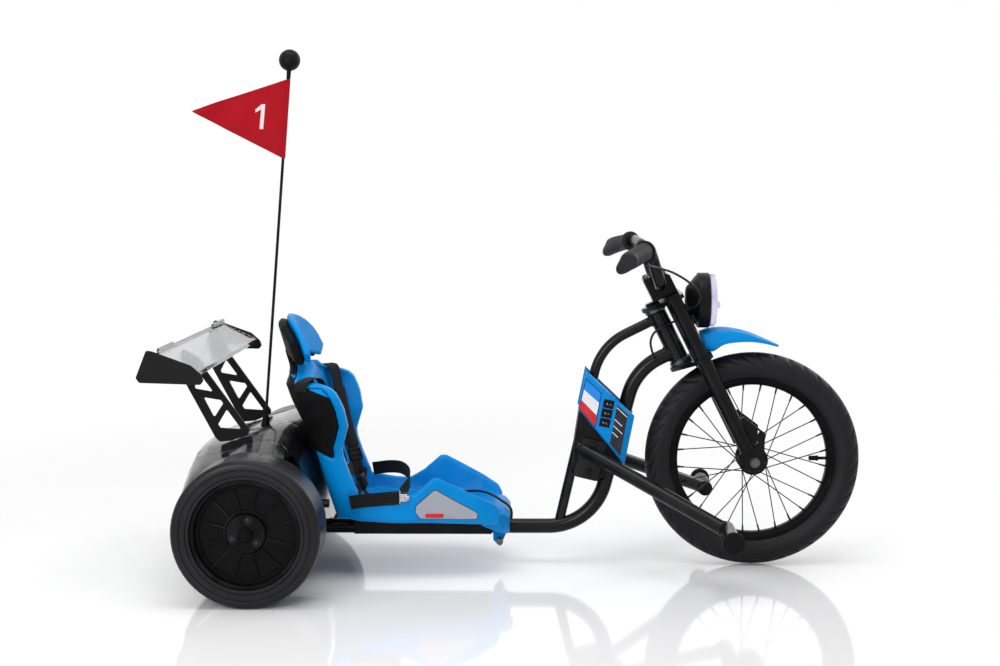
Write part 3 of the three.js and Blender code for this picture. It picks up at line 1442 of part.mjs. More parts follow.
function throttleGrip() {
  const from = gripFrom.clone().addScaledVector(gripWay, runGap);
  return mirrored(cut(gripBody(from, barEnd, gripWing), barBore()));
}

function throttleHousing() {
  const a = gripFrom.clone().addScaledVector(gripWay, -housingLength);
  const dome = bar(a, gripFrom, gripRadius, round, flangeRadius);
  return mirrored(cut(dome, barBore()));
}

function handlebar() {
  return tube(barPath(), barRadius);
}

part('stem_clamp', stemClamp(), satin, 0.45, 0.5);
part('handlebar', handlebar(), satin, 0.4, 0.5);
part('grip_left', leftGrip(), rubber, 0.7);
part('throttle_housing', throttleHousing(), black, 0.5);
part('throttle_grip', throttleGrip(), rubber, 0.7);

// Headlight with its bracket and clear lens
const lampZ = 504;
const lampBack = 127; // its rear, behind the front axle
const lampBowlDeep = 21;
const lampRingWide = 23;
const lampRadius = 52;
const lampDomeRadius = 26;
const lensDeep = 12;
const lensRadius = 49.5;
const nubRadius = 6.5;
const nubLength = 9;
const nubLow = 9;
const lampEdge = 2;
const lensEdge = 4;
const bracketHalf = 14;
const bracketThick = 6;
const bracketAt = upperCrownAt - 48; // its clamp bar, up the steering axis
const lampSides = 32;
const lampRear = wheelbase - lampBack;
const lampRingRear = lampRear + lampBowlDeep;
const lampRingFront = lampRingRear + lampRingWide;
const lensFront = lampRingFront + lensDeep;

function aboutX(outline, sidesCount = round) {
  return turned(outline.map(([x, r]) => [r, x]), sidesCount).rotateZ(-Math.PI / 2);
}

function headlightBucket() {
  const bowl = aboutX([[lampRear, 0], [lampRear, lampDomeRadius], [lampRingRear - over, lampRadius - over],
    [lampRingRear, lampRadius], [lampRingFront - lampEdge, lampRadius], [lampRingFront, lampRadius - lampEdge],
    [lampRingFront, 0]], lampSides).translate(0, 0, lampZ);
  const root = steerPoint(forkOffset + over, 0, bracketAt);
  const arm = wrapShape([[lampRear + over, lampZ - lampDomeRadius, over],
    [lampRingRear + over, lampZ - lampRadius + over * 2, over], [root.x + over, root.z, over]]);
  const web = plate(arm, bracketHalf, bracketHalf + bracketThick);
  return join(bowl, web, mirrored(web), bracketTie());
}

// The clamp bar that ties the lamp's bracket to both fork legs
function bracketTie() {
  const rear = forkOffset + legRadius + fit;
  return raked(box(rear, rear + bracketThick, -legHalfSpan, legHalfSpan,
    bracketAt - over * 2, bracketAt + over * 2));
}

function headlightLens() {
  const seat = lampRingFront + fit;
  const disc = aboutX([[seat, 0], [seat, lensRadius], [lensFront - lensEdge, lensRadius],
    [lensFront, lensRadius - lensEdge], [lensFront, 0]], lampSides).translate(0, 0, lampZ);
  const nub = aboutX([[lensFront - lensEdge, 0], [lensFront - lensEdge, nubRadius],
    [lensFront + nubLength - lampEdge, nubRadius], [lensFront + nubLength, nubRadius - lampEdge],
    [lensFront + nubLength, 0]], smallRound).translate(0, 0, lampZ - nubLow);
  return join(disc, nub);
}

// Fender: an arched guard ahead of the fork, low at the tip
// Distance behind the front axle, crown height, edge height and half width
const fenderStations = [[100, 446, 412, 40], [84, 451, 411, 42], [56, 453, 424, 42], [14, 446, 428, 36],
  [-19, 433, 424, 25], [-48, 420, 416, 8]];
const fenderWall = 3;
const fenderTongue = 25;
const fenderTongueHalf = 40.5;
// Across the half width and up the height
const fenderRowShares = [[-1, 0], [-0.96, 0.5], [-0.8, 0.84], [-0.4, 0.98], [0.4, 0.98], [0.8, 0.84],
  [0.96, 0.5], [1, 0]];
function fenderSection([back, top, low, half], inset, rearward) {
  const tall = top - low;
  return fenderRowShares.map(([y, z]) => {
    const run = z || !inset ? 0 : over;
    const depth = z * (tall - inset) - run;
    return new THREE.Vector3(wheelbase - back + rearward, y * (half - inset), low + depth);
  });
}

function fender() {
  const skin = loft(fenderStations.map((s) => fenderSection(s, 0, 0)));
  const hollow = loft(fenderStations.map((s) => fenderSection(s, fenderWall, -fenderWall)));
  const seat = lowerCrownAt + crownThick / 2 + fit;
  const tongue = raked(box(forkOffset - crownThick, forkOffset + fenderTongue, -fenderTongueHalf, fenderTongueHalf,
    seat, seat + fenderWall));
  return join(cut(skin, hollow), tongue);
}

part('headlight_bucket', headlightBucket(), black, 0.45);
part('headlight_lens', headlightLens(), 0xdedcf4, 0.08, 0, { transparent: true, opacity: 0.6 });
part('fender', fender(), blue, 0.3);

// Cables held by the bar, the lamp and the frame, their points measured from the front axle
const cableRadius = 2.2;
const lightCablePoints = [[-215, -238, 585.5], [-208, -214, 580], [-190, -170, 574], [-158, -118, 562],
  [-124, -78, 540], [-106, -66, 520], [-106, -64, 508], [-111, -58, 498], [-119, -45, 492], [-127, -34, 493],
  [-129.6, -22, 497]];
const wiringPoints = [[-184, -16.1, 391], [-191, -22, 410], [-194, -26, 428], [-188, -28, 444], [-170, -27, 457],
  [-155, -20, 463], [-149, -8, 464]];

function cable(points) {
  return tube(cordPath(points.map(([x, y, z]) => [wheelbase + x, y, z]), 3), cableRadius, cordSides);
}

part('light_cable', cable(lightCablePoints), rubber, 0.6);
part('wiring_loop', cable(wiringPoints), rubber, 0.6);

// The origin goes to the middle of the footprint, on the floor
const bounds = new THREE.Box3().setFromObject(built);
built.position.x = -(bounds.min.x + bounds.max.x) / 2;
built.position.z = -bounds.min.z;

export default trike;
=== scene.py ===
import json
import math

import bmesh
import bpy
from mathutils import Matrix, Vector
from mathutils.bvhtree import BVHTree

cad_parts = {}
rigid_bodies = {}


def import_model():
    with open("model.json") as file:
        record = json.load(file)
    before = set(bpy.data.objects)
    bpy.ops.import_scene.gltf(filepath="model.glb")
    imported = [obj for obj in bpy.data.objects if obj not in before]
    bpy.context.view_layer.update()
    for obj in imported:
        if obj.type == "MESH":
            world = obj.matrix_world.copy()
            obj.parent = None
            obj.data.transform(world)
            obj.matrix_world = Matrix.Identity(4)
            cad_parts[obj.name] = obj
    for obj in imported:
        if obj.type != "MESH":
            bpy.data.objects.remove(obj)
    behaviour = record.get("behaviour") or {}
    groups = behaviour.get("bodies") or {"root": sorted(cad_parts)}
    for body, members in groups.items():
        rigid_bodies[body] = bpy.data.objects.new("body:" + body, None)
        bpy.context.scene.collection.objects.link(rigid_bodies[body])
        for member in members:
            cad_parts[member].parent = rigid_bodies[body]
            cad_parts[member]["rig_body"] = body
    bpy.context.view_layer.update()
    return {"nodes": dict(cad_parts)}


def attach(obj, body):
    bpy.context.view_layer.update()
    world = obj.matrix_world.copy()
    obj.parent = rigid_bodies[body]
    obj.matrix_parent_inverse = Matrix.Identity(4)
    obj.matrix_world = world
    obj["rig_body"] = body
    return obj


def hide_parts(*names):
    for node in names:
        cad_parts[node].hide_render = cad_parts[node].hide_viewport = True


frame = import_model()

# The electric drift trike's looks. Shapes are worked out in millimetres from the rear axle,
# +X forward, +Z up, and go into the row frame in metres when a piece is finished.
MM = 0.001
SHIFT = -458.3268585
TO_FRAME = Matrix.Diagonal((MM, MM, MM, 1)) @ Matrix.Translation((SHIFT, 0, 0))
SIDES = (("left", 1), ("right", -1))

RAKE = math.radians(26.2)
AHEAD = Vector((math.cos(RAKE), 0, math.sin(RAKE)))
ALONG = Vector((-math.sin(RAKE), 0, math.cos(RAKE)))
FRONT_CENTRE = Vector((906, 0, 203))
STEER_FOOT = FRONT_CENTRE - AHEAD * 39.9
REAR_RADIUS = 129.5
REAR_AXLE_Z = REAR_RADIUS * math.cos(math.pi / 36)
REAR_WHEEL_Y = 317.5


def at(x, y, z):
    """A point of the trike in the row frame, in metres."""
    return TO_FRAME @ Vector((x, y, z))


def steer_point(forward, left, up):
    """A point by its places ahead of, left of and up along the steering axis."""
    return STEER_FOOT + AHEAD * forward + ALONG * up + Vector((0, left, 0))


STEER = Matrix.Translation(STEER_FOOT) @ Matrix(
    ((AHEAD.x, 0, ALONG.x), (0, 1, 0), (AHEAD.z, 0, ALONG.z))
).to_4x4()


def new_object(name, data):
    made = bpy.data.objects.new(name, data)
    bpy.context.scene.collection.objects.link(made)
    return made


# Camera
def make_camera():
    """The photo's own camera, fitted to the outlines of the three wheels."""
    yaw, pitch, roll = -0.0248, 0.0917, -0.0032
    forward = Vector((math.sin(yaw) * math.cos(pitch), math.cos(yaw) * math.cos(pitch), -math.sin(pitch)))
    right = Vector((math.cos(yaw), -math.sin(yaw), 0))
    up = right.cross(forward)
    tilted_right = right * math.cos(roll) + up * math.sin(roll)
    tilted_up = up * math.cos(roll) - right * math.sin(roll)
    camera = new_object("camera", bpy.data.cameras.new("camera"))
    camera.data.lens = 61.948
    camera.data.sensor_width = 36
    camera.data.clip_end = 60
    turn = Matrix((tilted_right, tilted_up, -forward)).transposed().to_4x4()
    camera.matrix_world = Matrix.Translation(at(509.12, -3247.96, 740.85)) @ turn
    bpy.context.scene.camera = camera


make_camera()


# Materials
class Wire:
    """A number or colour inside a node tree; + - * and the named steps add Math nodes."""

    def __init__(self, net, socket):
        self.net = net
        self.socket = socket

    def maths(self, operation, *values):
        return self.net.node("ShaderNodeMath", {"operation": operation}, dict(enumerate(values)))

    def __add__(self, other):
        return self.maths("ADD", self, other)

    def __radd__(self, other):
        return self.maths("ADD", other, self)

    def __sub__(self, other):
        return self.maths("SUBTRACT", self, other)

    def __mul__(self, other):
        return self.maths("MULTIPLY", self, other)

    def over(self, edge):
        return self.maths("GREATER_THAN", self, edge)

    def under(self, edge):
        return self.maths("LESS_THAN", self, edge)

    def size(self):
        return self.maths("ABSOLUTE", self)

    def wave(self):
        return self.maths("SINE", self)

    def ramp(self, low, high, to_low=0.0, to_high=1.0):
        """Runs from to_low to to_high as the value goes from low to high, and stays there."""
        return self.net.node("ShaderNodeMapRange", {"clamp": True},
                             {0: self, 1: low, 2: high, 3: to_low, 4: to_high})


class Net:
    """The node tree of a material or world, emptied to be built anew."""

    def __init__(self, owner):
        owner.use_nodes = True
        self.tree = owner.node_tree
        self.tree.nodes.clear()

    def node(self, kind, settings=None, sockets=None, output=0):
        made = self.tree.nodes.new(kind)
        for name, value in (settings or {}).items():
            setattr(made, name, value)
        for name, value in (sockets or {}).items():
            if isinstance(value, Wire):
                self.tree.links.new(value.socket, made.inputs[name])
            else:
                made.inputs[name].default_value = value
        return Wire(self, made.outputs[output]) if len(made.outputs) else None


class Finish(Net):
    """A material under construction, one Principled shader and what feeds it."""

    def __init__(self, name):
        self.material = bpy.data.materials.new(name)
        super().__init__(self.material)

    def place(self, scale=(1, 1, 1), uv=False):
        """Object coordinates, or the piece's own UV map, stretched by scale."""
        source = self.node("ShaderNodeTexCoord", output="UV" if uv else "Object")
        return self.node("ShaderNodeMapping", {"vector_type": "POINT"}, {"Vector": source, "Scale": scale})

    def noise(self, scale, detail=2.0, place=None):
        return self.node("ShaderNodeTexNoise", {},
                         {"Vector": place or self.place(), "Scale": scale, "Detail": detail}, "Fac")

    def cells(self, scale):
        return self.node("ShaderNodeTexVoronoi", {}, {"Vector": self.place(), "Scale": scale}, "Distance")

    def axes(self, place=None):
        """The three parts of a place, as wires."""
        made = self.tree.nodes.new("ShaderNodeSeparateXYZ")
        self.tree.links.new((place or self.place()).socket, made.inputs[0])
        return [Wire(self, made.outputs[i]) for i in range(3)]

    def mix(self, share, first, second):
        """From the first colour to the second."""
        return self.node("ShaderNodeMix", {"data_type": "RGBA"}, {0: share, 6: first, 7: second}, 2)

    def greys(self, share, shade, low, high):
        """From one near-grey to another, each a shade with a step for its red, green and blue."""
        return self.mix(share, *(colour(*(shade + step for step in steps)) for steps in (low, high)))

    def bump(self, height, strength, distance):
        return self.node("ShaderNodeBump", {},
                         {"Height": height, "Strength": strength, "Distance": distance}, "Normal")

    def edges(self, low=0.53, high=0.6):
        """1 on the raised edges that hands and feet rub, 0 elsewhere."""
        worn = self.node("ShaderNodeNewGeometry", output="Pointiness").ramp(low, high)
        return worn * self.noise(24).ramp(0.45, 0.7)

    def done(self, **sockets):
        named = {name.replace("_", " "): value for name, value in sockets.items()}
        shader = self.node("ShaderNodeBsdfPrincipled", {}, named)
        self.node("ShaderNodeOutputMaterial", {}, {"Surface": shader})
        return self.material


def colour(red, green, blue):
    """A colour as it is read off a screen, 0 to 255, in the linear values that shaders use."""
    linear = [((v / 255 + 0.055) / 1.055) ** 2.4 if v > 10 else v / 255 / 12.92 for v in (red, green, blue)]
    return (*linear, 1)


def powder_black(name, shade, grain, roughness, mirror):
    """Powder coat on tube and plate: fine orange peel, dull patches, paler at rubbed edges."""
    f = Finish(name)
    patches = f.noise(9, 3)
    base = f.greys(patches.ramp(0.3, 0.7), shade, (-3, -3, -2), (2, 2, 3))
    return f.done(
        Base_Color=f.mix(f.edges() * 0.12, base, colour(70, 70, 73)),
        Roughness=patches.ramp(0.3, 0.7, roughness - 0.03, roughness + 0.04),
        Normal=f.bump(f.noise(1100) + f.noise(320) * 1.5, grain, 0.25 * MM),
        Specular_IOR_Level=mirror)


def moulded_black(name, shade, roughness=0.5, grain=1700, depth=0.35, mirror=0.1):
    """Moulded plastic with a spark-eroded grain."""
    f = Finish(name)
    patches = f.noise(14, 3)
    base = f.greys(patches.ramp(0.35, 0.65), shade, (-4, -4, -3), (3, 3, 5))
    return f.done(
        Base_Color=f.mix(f.edges() * 0.2, base, colour(88, 88, 90)),
        Roughness=patches.ramp(0.3, 0.7, roughness - 0.06, roughness + 0.08),
        Normal=f.bump(f.cells(grain) + f.noise(500) * 0.6, depth, 0.2 * MM),
        Specular_IOR_Level=mirror)


# Both ends of each groove, as places forward and to the side
COVER_GROOVES = (((-104, 176), (6, 176)), ((6, 176), (52, 214)), ((-104, 176), (-128, 150)),
                 ((-64, 84), (8, 62)), ((8, 62), (34, 96)), ((34, 96), (62, 96)))


def gloss_black():
    """Polished cover: moulded grooves over its top and flanks with painted shade inside them, a trace of dust
    and fine swirls.
    """
    f = Finish("cover_gloss")
    dust = f.noise(26, 5)
    x, y, _ = f.axes()
    side = y.size()
    grooves = 0.0
    for (x0, y0), (x1, y1) in COVER_GROOVES:
        run = Vector((x1 - x0, y1 - y0))
        turn = run.normalized()
        away = (side - y0 * MM) * turn.x - (x - (x0 + SHIFT) * MM) * turn.y
        along = (x - (x0 + SHIFT) * MM) * turn.x + (side - y0 * MM) * turn.y
        near = away.size().ramp(1.3 * MM, 3.2 * MM, 1.0, 0.0)
        grooves = grooves + near * along.over(0) * along.under(run.length * MM)
    # The groove mask both sinks the grooves by bump and paints shade inside them
    groove_depth_and_shade = grooves.ramp(0, 1)
    polish = f.mix(dust.ramp(0.5, 0.75), colour(17, 17, 19), colour(36, 36, 38))
    return f.done(
        # Near-black in the grooves: painted shade, since the grooves are only a bump on a smooth surface
        Base_Color=f.mix(groove_depth_and_shade, polish, colour(4, 4, 5)),
        Roughness=dust.ramp(0.35, 0.7, 0.12, 0.26),
        Normal=f.bump(f.noise(34) * 0.1 - groove_depth_and_shade, 0.8, 1.6 * MM),
        Specular_IOR_Level=0.5, Coat_Weight=0.25, Coat_Roughness=0.08)


def blue_shell():
    """Blow-moulded blue: slight shade drift, soft orange peel, paler rubbed edges."""
    f = Finish("shell_blue")
    base = f.mix(f.noise(7, 3).ramp(0.35, 0.65), colour(0, 127, 201), colour(0, 138, 214))
    return f.done(
        Base_Color=f.mix(f.edges(0.54, 0.64) * 0.15, base, colour(60, 156, 214)),
        Roughness=f.noise(45, 4).ramp(0.3, 0.7, 0.26, 0.4),
        Normal=f.bump(f.noise(420) + f.noise(60) * 2, 0.12, 0.4 * MM),
        Specular_IOR_Level=0.09)


def tyre_black(name, shade, roughness):
    """Tyre rubber: matt, bloom in patches, fine mould grain."""
    f = Finish(name)
    bloom = f.noise(11, 4)
    return f.done(
        Base_Color=f.greys(bloom.ramp(0.35, 0.7), shade, (-5, -5, -3), (5, 5, 8)),
        Roughness=bloom.ramp(0.3, 0.7, roughness - 0.08, roughness + 0.08),
        Normal=f.bump(f.noise(1400) + f.noise(240, 3), 0.3, 0.2 * MM),
        Specular_IOR_Level=0.2)


def plated_steel(name, shade, roughness):
    """Plated steel, brushed one way."""
    f = Finish(name)
    brushed = f.noise(160, 3, f.place((1, 6, 1)))
    return f.done(
        Base_Color=f.greys(brushed.ramp(0.3, 0.7), shade, (-22, -20, -16), (8, 8, 10)),
        Metallic=1.0, Roughness=brushed.ramp(0.3, 0.7, roughness - 0.06, roughness + 0.12),
        Normal=f.bump(brushed, 0.12, 0.1 * MM))


def woven_webbing():
    """Seat-belt webbing: herringbone ribs along the strap, from its own UV map in metres."""
    f = Finish("harness_webbing")
    across, along, _ = f.axes(f.place(uv=True))
    rib = (across * (math.tau / 0.0016)).wave()
    pick = ((along + across.maths("PINGPONG", across, 0.0032)) * (math.tau / 0.0022)).wave()
    thread = rib * 0.5 + pick * 0.5
    return f.done(
        Base_Color=f.greys(thread.ramp(-0.8, 0.8), 24, (-10, -10, -9), (10, 10, 12)),
        Roughness=thread.ramp(-1, 1, 0.92, 0.72), Normal=f.bump(thread, 0.7, 0.3 * MM),
        Specular_IOR_Level=0.12, Sheen_Weight=0.03)


def flag_cloth():
    """Red flag nylon: a plain weave and faint creases."""
    f = Finish("pennant_red")
    x, _, z = f.axes()
    weave = (x * (math.tau / 0.0013)).wave() * (z * (math.tau / 0.0013)).wave()
    drift = f.noise(18, 3)
    base = f.mix(drift.ramp(0.3, 0.7), colour(152, 4, 20), colour(166, 9, 27))
    return f.done(
        Base_Color=f.mix(weave.ramp(-1, 1, 0, 0.25), base, colour(150, 4, 16)),
        Roughness=drift.ramp(0.3, 0.7, 0.66, 0.8), Normal=f.bump(weave + drift * 3, 0.35, 0.2 * MM),
        Specular_IOR_Level=0.15)


def clear_plastic(name, tint, roughness):
    """Clear moulded plastic with fine scuffs."""
    f = Finish(name)
    scuffs = f.noise(90, 5, f.place((1, 7, 1)))
    return f.done(
        Base_Color=tint, Roughness=scuffs.ramp(0.45, 0.75, roughness, roughness + 0.12),
        Transmission_Weight=0.96, IOR=1.38, Normal=f.bump(scuffs, 0.06, 0.2 * MM))


def printed(name, ink, roughness=0.35):
    """Printed vinyl: even ink on a fine film grain."""
    f = Finish(name)
    film = f.noise(700)
    worn = f.noise(40, 3).ramp(0.3, 0.7, 0.0, 0.08)
    return f.done(
        Base_Color=f.mix(worn, ink, colour(150, 150, 150)),
        Roughness=film.ramp(0.3, 0.7, roughness - 0.05, roughness + 0.08),
        Normal=f.bump(film, 0.08, 0.1 * MM), Specular_IOR_Level=0.2)


TUBE_BLACK = powder_black("tube_black", 14, 0.12, 0.2, 0.18)
FORK_BLACK = powder_black("fork_black", 11, 0.08, 0.17, 0.12)
PLATE_BLACK = powder_black("plate_black", 16, 0.25, 0.36, 0.12)
CASE_BLACK = moulded_black("case_black", 17)
WHEEL_BLACK = moulded_black("wheel_black", 12, 0.34, 1900, 0.2, 0.06)
GRAIN_BLACK = moulded_black("grain_black", 13, 0.5, 1200, 0.5, 0.08)
GLOSS_BLACK = gloss_black()
BLUE = blue_shell()
FRONT_RUBBER = tyre_black("front_tyre_rubber", 20, 0.5)
REAR_RUBBER = tyre_black("rear_tyre_rubber", 22, 0.34)
GRIP_RUBBER = tyre_black("grip_rubber", 30, 0.55)
CABLE_BLACK = tyre_black("cable_sheath", 24, 0.45)
STEEL = plated_steel("bright_steel", 176, 0.28)
DARK_STEEL = plated_steel("dark_steel", 96, 0.36)
DARK_WIRE = plated_steel("spoke_black", 58, 0.34)
WEBBING = woven_webbing()
FLAG_RED = flag_cloth()
BOARD_CLEAR = clear_plastic("board_clear", colour(214, 218, 224), 0.05)
LENS_CLEAR = clear_plastic("lens_clear", colour(222, 218, 248), 0.1)
INK_CLOTH = printed("ink_cloth", colour(224, 206, 208), 0.7)
THREAD_GREY = printed("thread_grey", colour(62, 63, 68), 0.7)
INK_WHITE = printed("ink_white", colour(226, 228, 232))
INK_RED = printed("ink_red", colour(206, 24, 40))
INK_BLUE = printed("ink_blue", colour(18, 132, 226))
INK_BLACK = printed("ink_black", colour(24, 25, 32), 0.28)
INK_GREY = printed("ink_grey", colour(158, 160, 172), 0.4)


# Shapes
def placed(shape, matrix):
    shape.transform(matrix)
    return shape


def mesh_of(name, shape):
    """A mesh from a shape, which is used up."""
    mesh = bpy.data.meshes.new(name)
    shape.to_mesh(mesh)
    shape.free()
    return mesh


def together(*shapes):
    """Several shapes in one bmesh."""
    whole = bmesh.new()
    for shape in shapes:
        mesh = mesh_of("part", shape)
        whole.from_mesh(mesh)
        bpy.data.meshes.remove(mesh)
    return whole


def cad_copy(node):
    """The shape of a CAD node, its loose triangles merged, in millimetres."""
    shape = bmesh.new()
    shape.from_mesh(frame["nodes"][node].data)
    shape.transform(TO_FRAME.inverted())
    bmesh.ops.remove_doubles(shape, verts=shape.verts, dist=0.004)
    bmesh.ops.dissolve_limit(shape, angle_limit=math.radians(0.4), verts=shape.verts, edges=shape.edges,
                             delimit={"NORMAL"})
    return shape


OTHER_SIDE = Matrix.Diagonal((1, -1, 1, 1))


def mirrored(shape):
    """The shape on the other side of the trike."""
    flipped = shape.copy()
    flipped.transform(OTHER_SIDE)
    bmesh.ops.reverse_faces(flipped, faces=flipped.faces)
    return flipped


def on_side(make, sign):
    """A shape that is made for the left side, mirrored where sign is -1."""
    return make() if sign > 0 else mirrored(make())


def eased(shape, width, segments=3, edges=None):
    """The shape with rounded edges, all of them or those given."""
    bmesh.ops.bevel(shape, geom=shape.edges[:] if edges is None else edges, offset=width, affect="EDGES",
                    segments=segments, profile=0.5, material=-1)
    return shape


def turned(outline, steps, closed=False):
    """A turned shape about Y: the outline is pairs of radius and place along Y."""
    shape = bmesh.new()
    points = [shape.verts.new((r, y, 0)) for r, y in outline]
    pairs = list(zip(points, points[1:])) + ([(points[-1], points[0])] if closed else [])
    lines = [shape.edges.new(pair) for pair in pairs]
    bmesh.ops.spin(shape, geom=points + lines, cent=(0, 0, 0), axis=(0, 1, 0), angle=math.tau,
                   steps=steps, use_merge=True)
    bmesh.ops.remove_doubles(shape, verts=shape.verts, dist=1e-3)
    bmesh.ops.recalc_face_normals(shape, faces=shape.faces)
    return shape


def rod(start, end, radius, sides, end_radius=None):
    """A round bar between two points."""
    start, end = Vector(start), Vector(end)
    shape = bmesh.new()
    bmesh.ops.create_cone(shape, cap_ends=True, segments=sides, radius1=radius,
                          radius2=radius if end_radius is None else end_radius, depth=(end - start).length)
    turn = Vector((0, 0, 1)).rotation_difference(end - start).to_matrix().to_4x4()
    return placed(shape, Matrix.Translation((start + end) / 2) @ turn)


def block(x0, x1, y0, y1, z0, z1):
    """A box between two values each of x, y and z."""
    shape = bmesh.new()
    bmesh.ops.create_cube(shape, size=1)
    size = Matrix.Diagonal((x1 - x0, y1 - y0, z1 - z0, 1))
    return placed(shape, Matrix.Translation(((x0 + x1) / 2, (y0 + y1) / 2, (z0 + z1) / 2)) @ size)


def thickened(shape, faces, depth):
    """The shape with those faces pushed out into a plate along Y."""
    grown = bmesh.ops.extrude_face_region(shape, geom=faces)["geom"]
    verts = [g for g in grown if isinstance(g, bmesh.types.BMVert)]
    bmesh.ops.translate(shape, verts=verts, vec=(0, depth, 0))
    bmesh.ops.recalc_face_normals(shape, faces=shape.faces)
    return shape


def flat_plate(outline, y0, y1):
    """A plate of that outline, pairs of x and z, between two values of y."""
    shape = bmesh.new()
    face = shape.faces.new([shape.verts.new((x, y0, z)) for x, z in outline])
    return thickened(shape, [face], y1 - y0)


def holed_plate(outline, holes, y0, y1):
    """A plate of that outline with holes in it."""
    shape = bmesh.new()
    edges = []
    for loop in [outline, *holes]:
        row = [shape.verts.new((x, y0, z)) for x, z in loop]
        edges += [shape.edges.new(pair) for pair in zip(row, row[1:] + row[:1])]
    made = bmesh.ops.triangle_fill(shape, edges=edges, use_beauty=True, use_dissolve=False)["geom"]
    return thickened(shape, [g for g in made if isinstance(g, bmesh.types.BMFace)], y1 - y0)


def neighbours(outline):
    """Each point of an outline with the one before and the one after it."""
    return zip(outline[-1:] + outline[:-1], outline, outline[1:] + outline[:1])


def inset(outline, amount):
    """The outline moved inwards, for pairs of x and z that turn one way round."""
    turn = sum(x0 * z1 - x1 * z0 for (x0, z0), (x1, z1) in zip(outline, outline[1:] + outline[:1]))
    sign = 1 if turn > 0 else -1
    moved = []
    for (xa, za), (xb, zb), (xc, zc) in neighbours(outline):
        into, out = Vector((xb - xa, zb - za)).normalized(), Vector((xc - xb, zc - zb)).normalized()
        bend = Vector((-into.y - out.y, into.x + out.x)) * (sign / (1 + into.dot(out)))
        moved.append((xb + bend.x * amount, zb + bend.y * amount))
    return moved


def corners_rounded(outline, radius, steps=5):
    """The outline, pairs of x and z, with round corners."""
    points = []
    for three in neighbours(outline):
        before, corner, after = (Vector(point) for point in three)
        into, out = (corner - before).normalized(), (after - corner).normalized()
        size = radius * math.tan(into.angle(out) / 2)
        first, last = corner - into * size, corner + out * size
        for k in range(steps + 1):
            t = k / steps
            points.append(tuple(first.lerp(corner, t).lerp(corner.lerp(last, t), t)))
    return points


def lofted(loops, closed=True):
    """A skin over loops of the same number of points, capped where they are closed."""
    shape = bmesh.new()
    rows = [[shape.verts.new(p) for p in loop] for loop in loops]
    edges = []
    for row in rows:
        pairs = list(zip(row, row[1:])) + ([(row[-1], row[0])] if closed else [])
        edges.append([shape.edges.new(pair) for pair in pairs])
    for low, high in zip(edges, edges[1:]):
        bmesh.ops.bridge_loops(shape, edges=low + high)
    if closed:
        shape.faces.new(rows[0])
        shape.faces.new(rows[-1])
    bmesh.ops.recalc_face_normals(shape, faces=shape.faces)
    return shape


def round_line(name, points, radius, sides, radii=None):
    """A curve through points with a round section; radii gives it a size at each of them."""
    line = bpy.data.curves.new(name, "CURVE")
    line.dimensions = "3D"
    line.bevel_depth = radius
    line.bevel_resolution = sides // 4 - 1
    line.use_fill_caps = True
    spline = line.splines.new("POLY")
    spline.points.add(len(points) - 1)
    for i, (knot, point) in enumerate(zip(spline.points, points)):
        knot.co = (*point, 1)
        knot.radius = radii[i] / radius if radii else 1
    return line


def swept(points, radius, sides, radii=None):
    """A round tube along points, as a shape."""
    line = round_line("line", points, radius, sides, radii)
    holder = bpy.data.objects.new("line", line)
    mesh = bpy.data.meshes.new_from_object(holder)
    shape = bmesh.new()
    shape.from_mesh(mesh)
    bpy.data.meshes.remove(mesh)
    bpy.data.objects.remove(holder)
    bpy.data.curves.remove(line)
    bmesh.ops.remove_doubles(shape, verts=shape.verts, dist=1e-3)
    bmesh.ops.recalc_face_normals(shape, faces=shape.faces)
    return shape


def bent(corners, bends, step):
    """Points of straight legs with round bends between them, a step in degrees apart."""
    corners = [Vector(c) for c in corners]
    points = [corners[0]]
    for before, corner, after, bend in zip(corners, corners[1:], corners[2:], bends):
        into = (corner - before).normalized()
        out = (after - corner).normalized()
        turn = into.angle(out)
        start = corner - into * bend * math.tan(turn / 2)
        side = (out - into * out.dot(into)).normalized()
        steps = max(2, math.ceil(turn / math.radians(step)))
        points += [start + into * bend * math.sin(turn * k / steps)
                   + side * bend * (1 - math.cos(turn * k / steps)) for k in range(steps + 1)]
    return points + [corners[-1]]


def reaches(points):
    """How far along a line each of its points lies."""
    reach = [0.0]
    for a, b in zip(points, points[1:]):
        reach.append(reach[-1] + (b - a).length)
    return reach


def spot_on(reach, goal):
    """The leg of a line that a distance falls on, and its share of that leg."""
    i = min(max(j for j, r in enumerate(reach) if r <= goal + 1e-6), len(reach) - 2)
    return i, (goal - reach[i]) / (reach[i + 1] - reach[i])


def read_off(table, value):
    """The other columns of a table, at a value of its first column."""
    low, high = next((a, b) for a, b in zip(table, table[1:]) if value <= b[0] + 1e-9)
    share = (value - low[0]) / (high[0] - low[0])
    return [a + (b - a) * share for a, b in zip(low[1:], high[1:])]


def smooth_route(points, count=36):
    """Evenly spaced points on the smooth curve through the given ones, as in the solid's own route."""
    knots = [Vector(p) for p in points]
    knots = [knots[0] * 2 - knots[1], *knots, knots[-1] * 2 - knots[-2]]
    fine = []
    for p0, p1, p2, p3 in zip(knots, knots[1:], knots[2:], knots[3:]):
        t1 = (p1 - p0).length ** 0.5
        t2 = t1 + (p2 - p1).length ** 0.5
        t3 = t2 + (p3 - p2).length ** 0.5
        for k in range(12):
            t = t1 + (t2 - t1) * k / 12
            a1 = p0.lerp(p1, t / t1)
            a2 = p1.lerp(p2, (t - t1) / (t2 - t1))
            a3 = p2.lerp(p3, (t - t2) / (t3 - t2))
            fine.append(a1.lerp(a2, t / t2).lerp(a2.lerp(a3, (t - t1) / (t3 - t1)), (t - t1) / (t2 - t1)))
    fine.append(knots[-2])
    reach = reaches(fine)
    route = []
    for k in range(count):
        i, share = spot_on(reach, reach[-1] * k / (count - 1))
        route.append(fine[i].lerp(fine[i + 1], share))
    return route, reach[-1]


